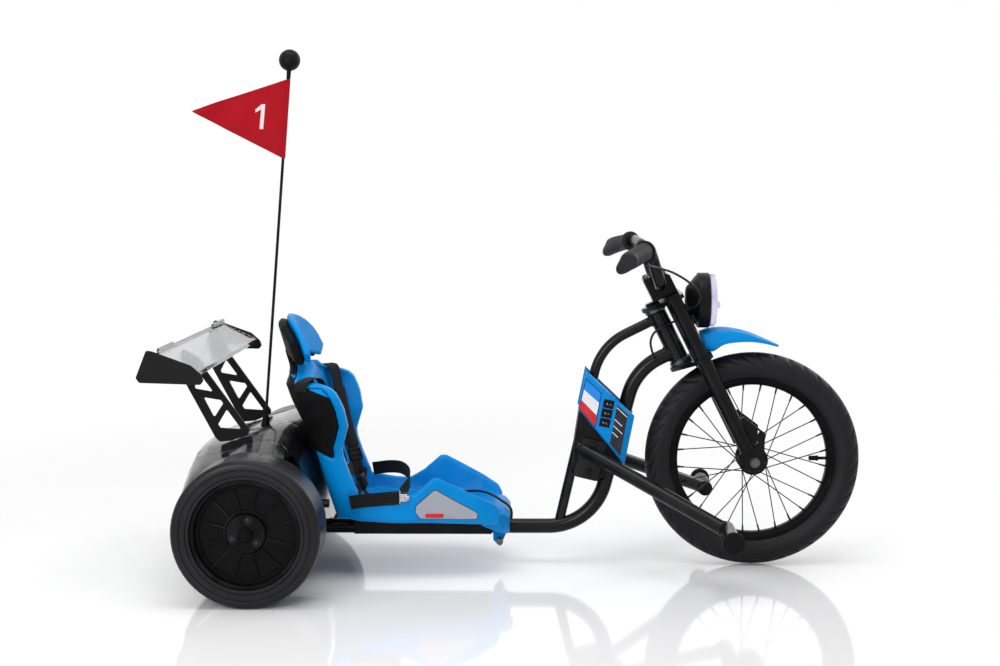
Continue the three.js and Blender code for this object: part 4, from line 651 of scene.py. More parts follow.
# Finished pieces
def piece(name, shape, finish, body, node=None, slot=None, sharp=35, bevel=0.0, wall=0.0):
    """Puts a shape into the scene; edges above the sharp angle stay sharp, bevel and wall in millimetres."""
    for face in shape.faces:
        face.smooth = True
    for edge in shape.edges:
        edge.smooth = len(edge.link_faces) != 2 or edge.calc_face_angle() < math.radians(sharp)
    made = new_object(name, mesh_of(name, placed(shape, TO_FRAME)))
    made.data.materials.append(finish)
    if wall:
        thick = made.modifiers.new("wall", "SOLIDIFY")
        thick.thickness = wall * MM
        thick.offset = -1
    if bevel:
        edge = made.modifiers.new("eased", "BEVEL")
        edge.width = bevel * MM
        edge.segments = 2
        edge.limit_method = "ANGLE"
        edge.angle_limit = math.radians(sharp)
        edge.harden_normals = True
    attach(made, body)
    if node:
        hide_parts(node)
    return made


def cord_piece(name, points, radius, body, node):
    """A cord along its route, a curve of one open spline."""
    route, length = smooth_route(points)
    line = round_line(name, [at(*point) for point in route], radius * MM, 20)
    line.splines[0].use_smooth = True
    line.materials.append(CABLE_BLACK)
    made = new_object(name, line)
    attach(made, body)
    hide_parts(node)
    at(*points[0])
    length * MM


# Cords
LIGHT_CABLE = [(691, -238, 585.5), (698, -214, 580), (716, -170, 574), (748, -118, 562), (782, -78, 540),
               (800, -66, 520), (800, -64, 508), (795, -58, 498), (787, -45, 492), (779, -34, 493),
               (776.4, -22, 497)]
WIRING_LOOP = [(722, -16.1, 391), (715, -22, 410), (712, -26, 428), (718, -28, 444), (736, -27, 457),
               (751, -20, 463), (757, -8, 464)]
PULL_STRAP = [(350, 104, 117.9), (364, 92, 121.5), (380, 66, 127), (400, 30, 131), (418, -6, 130),
              (431, -29, 126), (441, -39, 121.5), (448.5, -44, 114.5), (450.6, -45, 106), (449.9, -45, 94)]
cord_piece("throttle_cable", LIGHT_CABLE, 2.2, "fork", "light_cable")
cord_piece("frame_wiring", WIRING_LOOP, 2.2, "chassis", "wiring_loop")
cord_piece("nose_strap", PULL_STRAP, 2.5, "seat", "pull_strap")


# Rigid CAD nodes with eased edges: finish, slot, size and least angle of the easing, and names
DRESSED = (
    (TUBE_BLACK, "frame_black", 0.5, 35, "head_tube"),
    (TUBE_BLACK, "frame_black", 0.6, 35, "rear_frame"),
    (PLATE_BLACK, "frame_black", 0.8, 35, "seat_runner"),
    (FORK_BLACK, "frame_black", 0.5, 35, "fork_steerer fork_leg_left fork_leg_right"),
    (FORK_BLACK, "frame_black", 0.7, 35, "fork_crown_upper"),
    (FORK_BLACK, "frame_black", 1.0, 35, "stem_clamp"),
    (STEEL, "bright_steel", 0.4, 35, "rear_axle"),
    (DARK_STEEL, "bright_steel", 0.4, 35, "headset_cup_upper headset_cup_lower clamp_bolt"),
    (CASE_BLACK, "black_plastic", 1.0, 35, "gearbox_left gearbox_right"),
    (CASE_BLACK, "black_plastic", 1.2, 35, "control_box"),
    (GRAIN_BLACK, "black_plastic", 0.6, 35, "peg_cap_left peg_cap_right"),
    (GRAIN_BLACK, "black_plastic", 0.6, 35, "button_power button_lights button_horn"),
    (GLOSS_BLACK, "gloss_cover", 0.0, 35, "rear_cover"),
    (BOARD_CLEAR, "clear_plastic", 0.6, 25, "wing_board"),
    (BLUE, "blue_shell", 1.2, 35, "seat_clamp"),
)
for finish, slot, bevel, sharp, nodes in DRESSED:
    for node in nodes.split():
        body = frame["nodes"][node]["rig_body"]
        piece(f"{node}_shape", cad_copy(node), finish, body, node, slot, sharp, bevel)


# Front wheel, its shapes made about the axle
FRONT_AXLE = Matrix.Translation(FRONT_CENTRE)
TREAD_PITCHES = 41
TREAD_COLUMNS = (0.0, 0.07, 0.36, 0.64, 0.93)


def front_tyre():
    """A round tyre whose shoulders carry slanted grooves that lean back towards the sidewall."""
    middle = 176.0
    angles = [-139, -128, -116, -104, -96, -91, -86, -80, -74, -66, -58, -49, -40, -31, -22, -14, -7, 0]
    outline = []
    for degrees in angles + [-a for a in reversed(angles[:-1])]:
        a, section = math.radians(degrees), 27.0 if abs(degrees) in (96, 91, 86) else 26.5
        outline.append((middle + section * math.cos(a), section * math.sin(a)))
    outline += [(154.0, 15.5), (154.0, -15.5)]
    steps = TREAD_PITCHES * len(TREAD_COLUMNS)
    shape = turned(outline, steps, closed=True)
    for v in shape.verts:
        radius = math.hypot(v.co.x, v.co.z)
        a = math.atan2(v.co.y, radius - middle)
        around = abs(math.degrees(a))
        if radius < 155 or around > 84:
            continue
        pitch, k = divmod(round(math.atan2(v.co.z, v.co.x) / math.tau * steps), len(TREAD_COLUMNS))
        lean = around / 80
        place = pitch + TREAD_COLUMNS[k] - 0.95 * (lean - 0.35 * math.sin(lean * math.pi))
        angle = place / TREAD_PITCHES * math.tau
        depth = 2.8 * min(1, max(0, (around - 10) / 14)) * min(1, (86 - around) / 12) if k == 0 else 0.0
        radius -= math.cos(a) * depth
        v.co = Vector((radius * math.cos(angle), v.co.y - math.sin(a) * depth, radius * math.sin(angle)))
    return shape


def front_rim():
    """A box-section rim with a bead line on each flank, and the tyre valve with its cap."""
    half = [(141.2, 0), (141.2, 7.5), (143, 11.5), (146.5, 13.2), (149.4, 15.4), (149.9, 17.6), (151.2, 18.0),
            (154.2, 17.8), (154.9, 16.9), (154.6, 14.5)]
    rim = turned([(r, -y) for r, y in reversed(half[1:])] + half, 128, closed=True)
    valve = [rod((outer, 0, 0), (inner, 0, 0), radius, 16)
             for outer, inner, radius in ((142, 124, 3.0), (126, 108.5, 4.6), (126, 121.5, 5.2))]
    return together(rim, *valve)


def front_hub():
    half = [(5.5, 47.6), (11, 47.6), (12.5, 46), (13, 32), (15.5, 28.9), (26.5, 28.4), (28, 27.8), (28, 26.2),
            (26.5, 25.6), (17, 25.4), (15, 22), (13.8, 12), (13.8, 0)]
    return turned(half + [(r, -y) for r, y in reversed(half[:-1])], 64)


def spoke_ends():
    """Hub end and rim end of each of the crossed spokes, and the way between them."""
    count, hub_radius, rim_radius = 28, 22, 140
    for i in range(count):
        side = 1 if i % 2 else -1
        lead = 1 if (i // 2) % 2 else -1
        a = math.tau / count * (i + 0.5)
        rim = Vector((rim_radius * math.cos(a), side * (4 + lead * 1.6), rim_radius * math.sin(a)))
        a += lead * math.radians(62)
        hub = Vector((hub_radius * math.cos(a), side * (27 + lead * 1.6), hub_radius * math.sin(a)))
        yield hub, rim, (rim - hub).normalized()


def front_spokes():
    """The wires, each with its head across the hub's flange."""
    wires = []
    for hub, rim, way in spoke_ends():
        head = Vector((0, 1.8, 0))
        wires += [rod(hub - way, rim + way, 1.05, 8), rod(hub + head, hub - head, 1.9, 8)]
    return together(*wires)


def spoke_nipples():
    return together(*[rod(rim - way * 11, rim + way * 2, 1.55, 8, 2.1) for _, rim, way in spoke_ends()])


def front_axle():
    """Threaded axle ends, washers and hex nuts outside the dropout plates."""
    parts = [rod((0, -63.3, 0), (0, 63.3, 0), 4.6, 24)]
    for s in (-1, 1):
        washer, nut, end = (rod((0, s * y0, 0), (0, s * y1, 0), radius, sides) for y0, y1, radius, sides in (
            (55.7, 57.2, 9.6, 32), (57.2, 62.4, 8.8, 6), (62.4, 63.1, 6.0, 24)))
        parts += [washer, eased(nut, 0.5, 1), end]
    return together(*parts)


for name, make, finish, body, node, slot, sharp, bevel in (
        ("front_tyre_tread", front_tyre, FRONT_RUBBER, "front_wheel", "front_tyre", "tyre_rubber", 28, 0),
        ("front_rim_box", front_rim, WHEEL_BLACK, "front_wheel", "front_rim", "frame_black", 40, 0.3),
        ("front_hub_shell", front_hub, FORK_BLACK, "front_wheel", "front_hub", "frame_black", 35, 0),
        ("front_spoke_wires", front_spokes, DARK_WIRE, "front_wheel", None, "bright_steel", 35, 0),
        ("front_spoke_nipples", spoke_nipples, FORK_BLACK, "front_wheel", None, "bright_steel", 35, 0),
        ("front_axle_nuts", front_axle, DARK_STEEL, "fork", "front_axle", "bright_steel", 30, 0)):
    piece(name, placed(make(), FRONT_AXLE), finish, body, node, slot, sharp, bevel)


# Rear wheels
def rear_tyre():
    """A wide slick: flat tread, round shoulders, and fine moulded rings on each wall."""
    wall = [(96.2, 50.6), (98.2, 52.0), (101.5, 52.2), (102.3, 51.2), (103.1, 52.3), (109.5, 52.5),
            (111.6, 52.4), (112.3, 50.9), (113.9, 50.9), (114.6, 52.4), (119.2, 52.0), (123.2, 50.8),
            (126.3, 48.8), (128.2, 46.2), (129.1, 43.0), (129.4, 38.5), (REAR_RADIUS, 28)]
    outline = wall + [(REAR_RADIUS, 0)] + [(r, -y) for r, y in reversed(wall)] + [(95.9, -48), (95.9, 48)]
    return turned(outline, 144, closed=True)


def rear_wheel():
    """A deep dish with twelve thin ribs, a stepped rim, a boss with its ring and a domed cap."""
    parts = [turned(outline, steps) for outline, steps in (
        ([(0, 37.4), (33.2, 37.4), (34, 36.6), (34.6, 28.6), (80.4, 28.6), (81.2, 29.4), (81.6, 33.2),
          (82.4, 33.8), (86.4, 33.8), (87.2, 34.6), (88.2, 46.2), (89, 47.3), (94.6, 47.3), (95.6, 46.4),
          (95.6, -46.4), (94.6, -47.3), (90.4, -47.3), (89.8, 21.6), (34, 21.6), (34, 1), (8, 1),
          (8, 28)], 96),
        ([(35.6, 28), (36.6, 30.8), (39.4, 30.8), (40.4, 28)], 96),
        ([(14.6, 37), (15.2, 38.6), (18.4, 38.6), (19, 37)], 64),
        ([(0, 48.3), (5.6, 48.3), (6.8, 47.4), (7.0, 45.8), (10.6, 45.4), (11.4, 44.2), (11.4, 36)], 40))]
    for i in range(12):
        rib = eased(block(33.4, 83.2, 26, 32.6, -1.3, 1.3), 0.55, 2)
        parts.append(placed(rib, Matrix.Rotation(math.tau * (i + 0.5) / 12, 4, "Y")))
    return together(*parts)


def wheel_bolts():
    """Three dished sockets with hex screws round the boss."""
    parts = []
    for i in range(3):
        screw = eased(rod((24.5, 37, 0), (24.5, 40.2, 0), 3.9, 6), 0.35, 2)
        ring = turned([(5.0, 37.2), (5.4, 38.2), (6.6, 38.2), (7.0, 37.2)], 24)
        bolt = together(screw, placed(ring, Matrix.Translation((24.5, 0, 0))))
        parts.append(placed(bolt, Matrix.Rotation(math.tau * (i + 1 / 3) / 3, 4, "Y")))
    return together(*parts)


for side, sign in SIDES:
    out = Matrix.Translation((0, sign * REAR_WHEEL_Y, REAR_AXLE_Z))
    for name, make, finish, node, slot, sharp in (
            ("rear_slick", rear_tyre, REAR_RUBBER, f"rear_tyre_{side}", "tyre_rubber", 28),
            ("rear_dish", rear_wheel, WHEEL_BLACK, f"rear_wheel_{side}", "black_plastic", 32),
            ("rear_bolts", wheel_bolts, DARK_WIRE, None, "bright_steel", 30)):
        shape = placed(on_side(make, sign), out)
        piece(f"{name}_{side}", shape, finish, f"rear_wheel_{side[0]}", node, slot, sharp)


# Blow-moulded seat
def moulded(node, voxel, rounds):
    """A moulded shell after its CAD solid: remeshed finely, then smoothed so that its edges are rounded."""
    source = cad_copy(node)
    bmesh.ops.triangulate(source, faces=source.faces)
    holder = new_object(node, mesh_of(node, placed(source, TO_FRAME)))
    remesh = holder.modifiers.new("remesh", "REMESH")
    remesh.mode = "VOXEL"
    remesh.voxel_size = voxel * MM
    smooth = holder.modifiers.new("smooth", "SMOOTH")
    smooth.factor = 0.5
    smooth.iterations = rounds
    bpy.context.view_layer.update()
    evaluated = holder.evaluated_get(bpy.context.evaluated_depsgraph_get())
    shape = bmesh.new()
    shape.from_mesh(evaluated.to_mesh())
    evaluated.to_mesh_clear()
    mesh = holder.data
    bpy.data.objects.remove(holder)
    bpy.data.meshes.remove(mesh)
    return placed(shape, TO_FRAME.inverted())


def shoulder_line(shape):
    """Cuts the back shell along the line where its blue shoulders begin, and takes the two apart."""
    slope, groove_depth_and_shade = Vector((0.42, 0, 1)), 388.9
    near = [f for f in shape.faces
            if abs(f.calc_center_median().y) > 74 and 300 < f.calc_center_median().z < 392]
    geom = near + list({e for f in near for e in f.edges}) + list({v for f in near for v in f.verts})
    bmesh.ops.bisect_plane(shape, geom=geom, plane_co=(0, 0, groove_depth_and_shade), plane_no=slope)

    def is_shoulder(face):
        spot = face.calc_center_median()
        return abs(spot.y) > 80 and spot.x > 40 and groove_depth_and_shade < slope.dot(spot) < 420 and spot.z < 376

    shoulders = shape.copy()
    bmesh.ops.delete(shape, geom=[f for f in shape.faces if is_shoulder(f)], context="FACES")
    bmesh.ops.delete(shoulders, geom=[f for f in shoulders.faces if not is_shoulder(f)], context="FACES")
    return shape, shoulders


seat_bucket = moulded("seat_shell", 3.0, 6)
seat_surface = BVHTree.FromBMesh(seat_bucket)
piece("seat_bucket", seat_bucket, BLUE, "seat", "seat_shell", "blue_shell", 60)
back_cover, shoulder_caps = shoulder_line(moulded("seat_back_shell", 2.6, 6))
piece("seat_back_cover", back_cover, GRAIN_BLACK, "seat", "seat_back_shell", "black_plastic", 60)
piece("seat_shoulder_caps", shoulder_caps, BLUE, "seat", slot="blue_shell", sharp=60)
piece("headrest_cushion_shell", moulded("headrest", 2.2, 7), BLUE, "seat", "headrest", "blue_shell", 60)


# Harness
BACK_LEAN = 0.297
STRAP_WIDTH, NARROW_STRAP, PAD_WIDTH = 25.0, 19.0, 34
STRAP_THICK, PAD_THICK = 2.0, 8.4
TILT = math.radians(36)
BUCKLE = (244, -84, 148)
# Cross sections as shares of width and thickness
BAND = [(-0.5, 0), (-0.492, -0.38), (-0.46, -0.5), (-0.4, -0.42), (-0.2, -0.4), (0, -0.38), (0.2, -0.4),
        (0.4, -0.42), (0.46, -0.5), (0.492, -0.38)]
SLEEVE = [(-0.5, 0), (-0.49, -0.12), (-0.44, -0.16), (-0.41, -0.26), (-0.34, -0.4), (-0.2, -0.49), (0, -0.52),
          (0.2, -0.49), (0.34, -0.4), (0.41, -0.26), (0.44, -0.16), (0.49, -0.12)]
BAND += [(-u, -v) for u, v in BAND]
SLEEVE += [(-u, -v) for u, v in SLEEVE]


def panel_face(z):
    """How far forward the seat's back panel is at a height."""
    return 154.5 - BACK_LEAN * (z - 108)


def strap_rows(knots, step=4.0):
    """Even rows along a smooth route, each a place and the way across the strap, and the route's length."""
    points = [Vector(place) for place, _ in knots]
    reach = reaches(points)
    route, length = smooth_route(points, max(8, round(reach[-1] / step)))
    rows = []
    for k, place in enumerate(route):
        i, share = spot_on(reach, reach[-1] * k / (len(route) - 1))
        rows.append((place, Vector(knots[i][1]).lerp(Vector(knots[i + 1][1]), share)))
    return rows, length


def webbing(rows, width=STRAP_WIDTH, thick=STRAP_THICK, section=BAND, swell=lambda share: (1.0, 1.0)):
    """A flat band through rows; its UV map holds the place across and along it in metres."""
    loops = []
    for k, (place, across) in enumerate(rows):
        before, after = rows[max(k - 1, 0)][0], rows[min(k + 1, len(rows) - 1)][0]
        way = (after - before).normalized()
        side = (across - way * across.dot(way)).normalized()
        up = way.cross(side)
        wide, deep = swell(k / (len(rows) - 1))
        loops.append([place + side * (u * width * wide) + up * (v * thick * deep) for u, v in section])
    shape = lofted(loops)
    shape.verts.index_update()
    layer = shape.loops.layers.uv.new("weave")
    run = reaches([place for place, _ in rows])
    for face in shape.faces:
        for corner in face.loops:
            k, j = divmod(corner.vert.index, len(section))
            corner[layer].uv = (section[j][0] * width * MM, run[k] * MM)
    return shape


def hanging(places):
    """Knots of the left strap before the back panel, from height, side and distance off the panel."""
    return [((panel_face(z) + ahead, y, z), (math.sin(TILT), math.cos(TILT), 0)) for z, y, ahead in places]


def to_side(knots, sign):
    """Knots of the left side, mirrored where sign is -1."""
    return [((x, sign * y, z), (u, sign * v, w)) for (x, y, z), (u, v, w) in knots]


def stitches(rows, width, thick, offsets, start, end):
    """Short raised threads in lines along a band, from start to end millimetres."""
    threads = []
    run, goal = 0.0, start
    for (a, across), (b, _) in zip(rows, rows[1:]):
        step = (b - a).length
        way = (b - a) / step
        side = (across - way * across.dot(way)).normalized()
        up = way.cross(side)
        while goal <= min(run + step, end):
            for off in offsets:
                for face in (-1, 1):
                    p = a + way * (goal - run) + side * (off * width) + up * (face * thick / 2)
                    threads.append(rod(p - way * 1.1, p + way * 1.1, 0.28, 6))
            goal += 3.4
        run += step
    return threads


def shoulder_harness(sign):
    """One shoulder strap with its sleeve pad, and the stitching that closes the pad."""
    over_the_top = [((69, 159.4, 349), (1, 0.1, 0)), ((69.5, 159, 356), (1, 0.15, 0)),
                    ((71, 156, 363), (0.95, 0.3, 0)), ((74, 148, 367), (0.85, 0.5, 0)),
                    ((80, 136, 369.4), (0.78, 0.62, 0)), ((88, 122, 370.4), (0.75, 0.65, 0)),
                    ((95, 113, 369), (0.72, 0.68, 0)), ((100.5, 106.5, 362), (0.65, 0.76, 0)),
                    ((104, 101.5, 350), (0.6, 0.8, 0))]
    down_the_back = hanging([(325, 97, 19), (300, 95, 17), (260, 92, 14.2), (212, 90, 13.8), (190, 89, 12.6),
                             (175, 88, 12), (160, 86, 10.5), (148, 82, 12)])
    under_the_pad = hanging([(327, 97.2, 19.2), (300, 95, 17), (260, 92, 14.2), (210, 90, 13.8)])
    rows, _ = strap_rows(to_side(over_the_top + down_the_back, sign))
    pad_rows, long = strap_rows(to_side(under_the_pad, sign), 3.0)

    def swell(share):
        end = min(share, 1 - share) * long
        return 0.97 + 0.03 * min(end / 6, 1), 0.5 + 0.5 * min(end / 9, 1) ** 0.5

    pad = webbing(pad_rows, PAD_WIDTH, PAD_THICK, SLEEVE, swell)
    thread = stitches(pad_rows, PAD_WIDTH, 3.0, (-0.455, 0.455), 4, long - 4)
    return webbing(rows), pad, together(*thread)


def frame_link(knot, along, width, length, bar):
    """A moulded strap adjuster at a knot: a rounded frame with a middle bar, flat across the strap."""
    centre, across, along = Vector(knot[0]), Vector(knot[1]).normalized(), Vector(along).normalized()
    half, reach = width / 2, length / 2
    corners = [(-half, -reach), (half, -reach), (half, reach), (-half, reach)]
    bars = list(zip(corners, corners[1:] + corners[:1])) + [((-half, 0), (half, 0))]
    made = [rod(centre + across * u0 + along * v0, centre + across * u1 + along * v1, bar, 12)
            for (u0, v0), (u1, v1) in bars]
    for u, v in corners:
        ball = bmesh.new()
        bmesh.ops.create_icosphere(ball, subdivisions=2, radius=bar * 1.02)
        made.append(placed(ball, Matrix.Translation(centre + across * u + along * v)))
    return made


def middle_straps():
    """Narrow straps from both shoulder straps to the middle buckle, and one from there to the seat pan."""
    level = (-0.3, 0, 1)
    half = [((157.5, 88, 170), (0.59, 0.81, 0)), ((156, 82, 155), (0.5, 0.6, 0.5)),
            ((156.5, 64, 145), (0.1, 0.3, 1)), ((158.5, 42, 145), level), ((161.5, 22, 152), level),
            ((163.5, 8, 157), level)]
    places = [Vector((164, 0, 150)), Vector((168, 0, 139))]
    for x, lift in ((180, 9), (196, 3), (214, 2)):
        spot = seat_surface.ray_cast(Vector((x, 0, 260)), Vector((0, 0, -1)))[0]
        places.append(spot + Vector((0, 0, lift)))
    routes = (to_side(half, -1), to_side(half, 1), [(place, (0, 1, 0)) for place in places])
    return [webbing(strap_rows(knots)[0], NARROW_STRAP) for knots in routes]


def middle_buckle():
    """The moulded block where the narrow straps meet, leaning as the back does, with its round button."""
    lean = Matrix.Translation((164, 0, 157)) @ Matrix.Rotation(-math.atan(BACK_LEAN), 4, "Y")
    body = eased(block(-6.5, 6.5, -19, 19, -14, 14), 3.2)
    button = turned([(0, 5), (8.5, 5), (8.5, 7.6), (7.4, 8.6), (0, 8.6)], 32)
    return placed(together(body, placed(button, Matrix.Rotation(-math.pi / 2, 4, "Z"))), lean)


bands, adjusters = [], []
for side, sign in SIDES:
    band, pad, thread = shoulder_harness(sign)
    bands.append(band)
    piece(f"shoulder_pad_{side}", pad, WEBBING, "seat", slot="webbing", sharp=50)
    piece(f"pad_stitching_{side}", thread, THREAD_GREY, "seat", slot="webbing")
    adjusters += frame_link(to_side(hanging([(196, 89.3, 12.9)]), sign)[0], (-BACK_LEAN, 0, 1), 30, 20, 2.4)
# The web across the small of the back
web_half = [(136.9, 0), (137.1, 59), (138.2, 76), (146.5, 88)]
web = [((x, y, 172), (-BACK_LEAN, 0, 1)) for x, y in [(x, -y) for x, y in web_half[:0:-1]] + web_half]
bands += [webbing(strap_rows(web)[0]), *middle_straps()]
piece("harness_straps", together(*bands), WEBBING, "seat", "shoulder_straps", "webbing", 60)
piece("strap_adjusters", together(*adjusters), CASE_BLACK, "seat", slot="black_plastic")
piece("middle_buckle", middle_buckle(), CASE_BLACK, "seat", slot="black_plastic", sharp=40)

LAP_NEAR = [(156, -141.7, 143), (175, -147.9, 147), (215, -148.8, 151), (248, -148, 153.5)]
LAP_FAR = [(172, 131.4, 160), (188, 125, 163), (205, 112, 167), (232, 78, 171), (252, 28, 166),
           (254, -18, 156), (245, -56, 148), BUCKLE]
lap_thread = []
for name, node, places, sewn in (("near", "right", LAP_NEAR, 26), ("far", "left", LAP_FAR, 30)):
    rows, long = strap_rows([(place, (0, 0, 1)) for place in places])
    piece(f"lap_strap_{name}", webbing(rows), WEBBING, "seat", f"lap_strap_{node}", "webbing", 60)
    lap_thread += stitches(rows, STRAP_WIDTH, STRAP_THICK, (-0.38, 0.38), long - sewn, long - 4)
piece("lap_stitching", together(*lap_thread), THREAD_GREY, "seat", slot="webbing")


def buckle_body():
    """The buckle that joins the far lap strap: a moulded body with a ribbed press button."""
    x, y, z = BUCKLE
    body = eased(block(x - 15.4, x + 15.4, y - 36, y - 4, z - 4.8, z + 4.8), 1.8)
    button = eased(block(x - 9, x + 9, y - 22, y - 9, z + 4.2, z + 5.6), 0.6)
    ribs = [eased(block(x - 6, x + 6, y + low, y + low + 1.2, z + 5.3, z + 6.0), 0.25)
            for low in (-19, -16, -13)]
    return together(body, button, *ribs)


def buckle_tongue():
    x, y, z = BUCKLE
    tongue = eased(block(x - 8, x + 8, y - 8, y + 7, z - 1.1, z + 1.1), 0.5)
    return together(tongue, rod((x - 13.4, y + 6.5, z), (x + 13.4, y + 6.5, z), 1.7, 16))


piece("buckle_body", buckle_body(), CASE_BLACK, "seat", "harness_buckle", "black_plastic", 40)
piece("buckle_tongue", buckle_tongue(), STEEL, "seat", slot="bright_steel", sharp=40)


# Flag
FLAG_TOP, FLAG_DROP = 918, 146
FLAG_TIP = Vector((-140.5, -60, 860))


def pole_at(z):
    """Where the flag pole is at a height."""
    return Vector((-12 + 55 * (z - 262) / 672, -60, z))


def flag_pole():
    """A fibreglass rod in a moulded foot, with the sleeve that holds the ball."""
    lean = (pole_at(900) - pole_at(300)).to_track_quat("Z", "Y").to_matrix().to_4x4()
    upright = lean @ Matrix.Rotation(math.pi / 2, 4, "X")
    foot = turned([(0, -16), (6.4, -16), (8.6, -13), (8.6, -3), (7.4, 0), (5.6, 13), (4.9, 15.5), (3.4, 16.4),
                   (0, 16.4)], 32)
    sleeve = turned([(0, -9.5), (3.4, -9.5), (3.7, -8.5), (4.3, 8.2), (4.3, 14.5), (0, 14.5)], 24)
    return together(swept([pole_at(z) for z in (272, 500, 720, 930)], 2.7, 16),
                    placed(foot, Matrix.Translation(pole_at(278)) @ upright),
                    placed(sleeve, Matrix.Translation(pole_at(927)) @ upright))


def pole_ball():
    """The ball on the pole, with its mould seam."""
    ball = bmesh.new()
    bmesh.ops.create_uvsphere(ball, u_segments=48, v_segments=28, radius=19.4)
    seam = turned([(19.2, -0.5), (19.75, 0), (19.2, 0.5)], 64)
    return placed(together(ball, seam), Matrix.Translation(pole_at(934) + Vector((1.4, 0, 18))))


def pennant_place(across, down):
    """A place on the pennant: across runs from the hoist to the tip, down from the top edge to the low."""
    place = pole_at(FLAG_TOP - FLAG_DROP * down).lerp(FLAG_TIP, across)
    place.y += 5.5 * math.sin(across * 7.4 + down * 1.3) * across ** 0.8
    place.y += 2.2 * math.sin(across * 15 - down * 4) * across
    return place


def pennant_sheet():
    """A triangular flag with gentle waves, sewn round the pole along its hoist."""
    shape = bmesh.new()
    bmesh.ops.create_grid(shape, x_segments=64, y_segments=28, size=0.5)
    layer = shape.loops.layers.uv.new("weave")
    for v in shape.verts:
        v.co = pennant_place((v.co.x + 0.5) * 0.985, 0.5 - v.co.y)
    for face in shape.faces:
        for corner in face.loops:
            corner[layer].uv = (corner.vert.co.x * MM, corner.vert.co.z * MM)
    return shape


def pennant_hems():
    """The double hems along both free edges and the sleeve along the hoist."""
    strips = [swept([pole_at(z) for z in (773, 820, 870, 917)], 4.0, 20)]
    for edge, inner in ((0.0, 0.045), (1.0, 0.955)):
        line = [[pennant_place(k / 40 * 0.985, down) for down in (edge, inner)] for k in range(41)]
        for side in (-1.2, 1.2):
            strips.append(lofted([[p + Vector((0, side, 0)) for p in pair] for pair in line], closed=False))
    return together(*strips)


def numeral_one():
    """The figure 1 printed on both faces of the pennant."""
    strokes = ([(-8.5, 872), (-1.8, 872), (-6.4, 826.4), (-13.2, 826.4)],
               [(-8.5, 872), (-9.4, 862.6), (-19.8, 856.6), (-20.4, 861.8)])
    marks = []
    for lift in (-1.3, 1.3):
        for outline in strokes:
            shape = bmesh.new()
            shape.faces.new([shape.verts.new((x, 0, z)) for x, z in outline])
            bmesh.ops.subdivide_edges(shape, edges=shape.edges, cuts=3, use_grid_fill=True)
            for v in shape.verts:
                across, down = 0.0, (FLAG_TOP - v.co.z) / FLAG_DROP
                # Walks to the place on the waving cloth that this point lies before
                for _ in range(12):
                    guess = pennant_place(across, down)
                    across += (guess.x - v.co.x) / 180
                    down += (guess.z - v.co.z) / FLAG_DROP
                v.co.y = pennant_place(across, down).y + lift
            marks.append(shape)
    return together(*marks)


piece("flag_mast", flag_pole(), GRAIN_BLACK, "chassis", "flag_pole", "black_plastic", 40)
piece("flag_ball", pole_ball(), CASE_BLACK, "chassis", slot="black_plastic", sharp=30)
flag = piece("pennant_sheet", pennant_sheet(), FLAG_RED, "chassis", "pennant", "pennant_cloth", 60, wall=0.9)
piece("pennant_hems", pennant_hems(), FLAG_RED, "chassis", slot="pennant_cloth", sharp=50)
piece("pennant_figure", numeral_one(), INK_CLOTH, "chassis", slot="pennant_cloth", sharp=50)


# Control box graphics
PANEL_Y = -44.0
BADGE_TOP, BADGE_LOW = [(590.8, 358.8), (618.8, 331.6)], [(607.2, 270.2), (577.9, 304.8)]
BLUE_END, WHITE_END = [(615.3, 314.4), (586.6, 340.3)], [(610.6, 290.3), (581.9, 319.8)]
LABEL = [(649.1, 310.4), (669.3, 291.6), (654.8, 213.6), (635.3, 237.2)]


def printed_plate(outline):
    return flat_plate(outline, PANEL_Y - 0.35, PANEL_Y + 0.2)


def label_line(fall, groove_depth_and_shade):
    """A thin line across the label, that far down it and shorter by its cut."""
    left, right = 648.6 - fall * 0.19, 667.6 - fall * 0.19 - groove_depth_and_shade
    drop = 288.4 - fall + groove_depth_and_shade * 0.93
    outline = [(left, 306.2 - fall), (right, drop), (right - 0.4, drop - 1.6), (left - 0.3, 304.6 - fall)]
    return flat_plate(outline, PANEL_Y - 0.5, PANEL_Y)


border = inset(BADGE_TOP + BADGE_LOW, -1.3)
for name, shape, ink, slot in (
        ("badge_blue", printed_plate(inset(BADGE_TOP + BLUE_END, 0.25)), INK_BLUE, "blue_shell"),
        ("badge_white", printed_plate(inset(BLUE_END[::-1] + WHITE_END, 0.25)), INK_WHITE, "blue_shell"),
        ("badge_red", printed_plate(inset(WHITE_END[::-1] + BADGE_LOW, 0.25)), INK_RED, "blue_shell"),
        ("badge_border", holed_plate(border, [inset(border, 1.3)], PANEL_Y - 0.5, PANEL_Y + 0.2),
         INK_BLACK, "black_plastic"),
        ("panel_label", printed_plate(LABEL), INK_BLACK, "black_plastic"),
        ("panel_label_lines", together(*[label_line(*line) for line in ((0, 0), (22, 5), (34, 2), (46, 8))]),
         INK_WHITE, "black_plastic")):
    piece(name, shape, ink, "chassis", slot=slot, sharp=30)


# Frame tubes and welds
def bead(points, size):
    """A weld bead along a closed line, with the ripple of its pools."""
    return swept(points, size, 8, [size * (1.14 if k % 2 else 0.86) for k in range(len(points))])


def meeting(start, way, radius, surface):
    """Points where a tube from start reaches a surface, all the way round it."""
    start, way = Vector(start), Vector(way).normalized()
    side = way.orthogonal().normalized()
    other = way.cross(side)
    points = []
    for k in range(65):
        a = math.tau * k / 64
        edge = start + (side * math.cos(a) + other * math.sin(a)) * radius
        points.append(edge + way * surface(edge, way))
    return points


def round_surface(point, axis, radius):
    """How far a line runs until it meets a tube of that axis and radius."""
    axis = Vector(axis).normalized()

    def reach(edge, way):
        gap, run = edge - point, way - axis * way.dot(axis)
        gap -= axis * gap.dot(axis)
        b, c = gap.dot(run), gap.length_squared - radius ** 2
        return (-b - math.sqrt(max(b * b - run.length_squared * c, 0))) / run.length_squared
    return reach


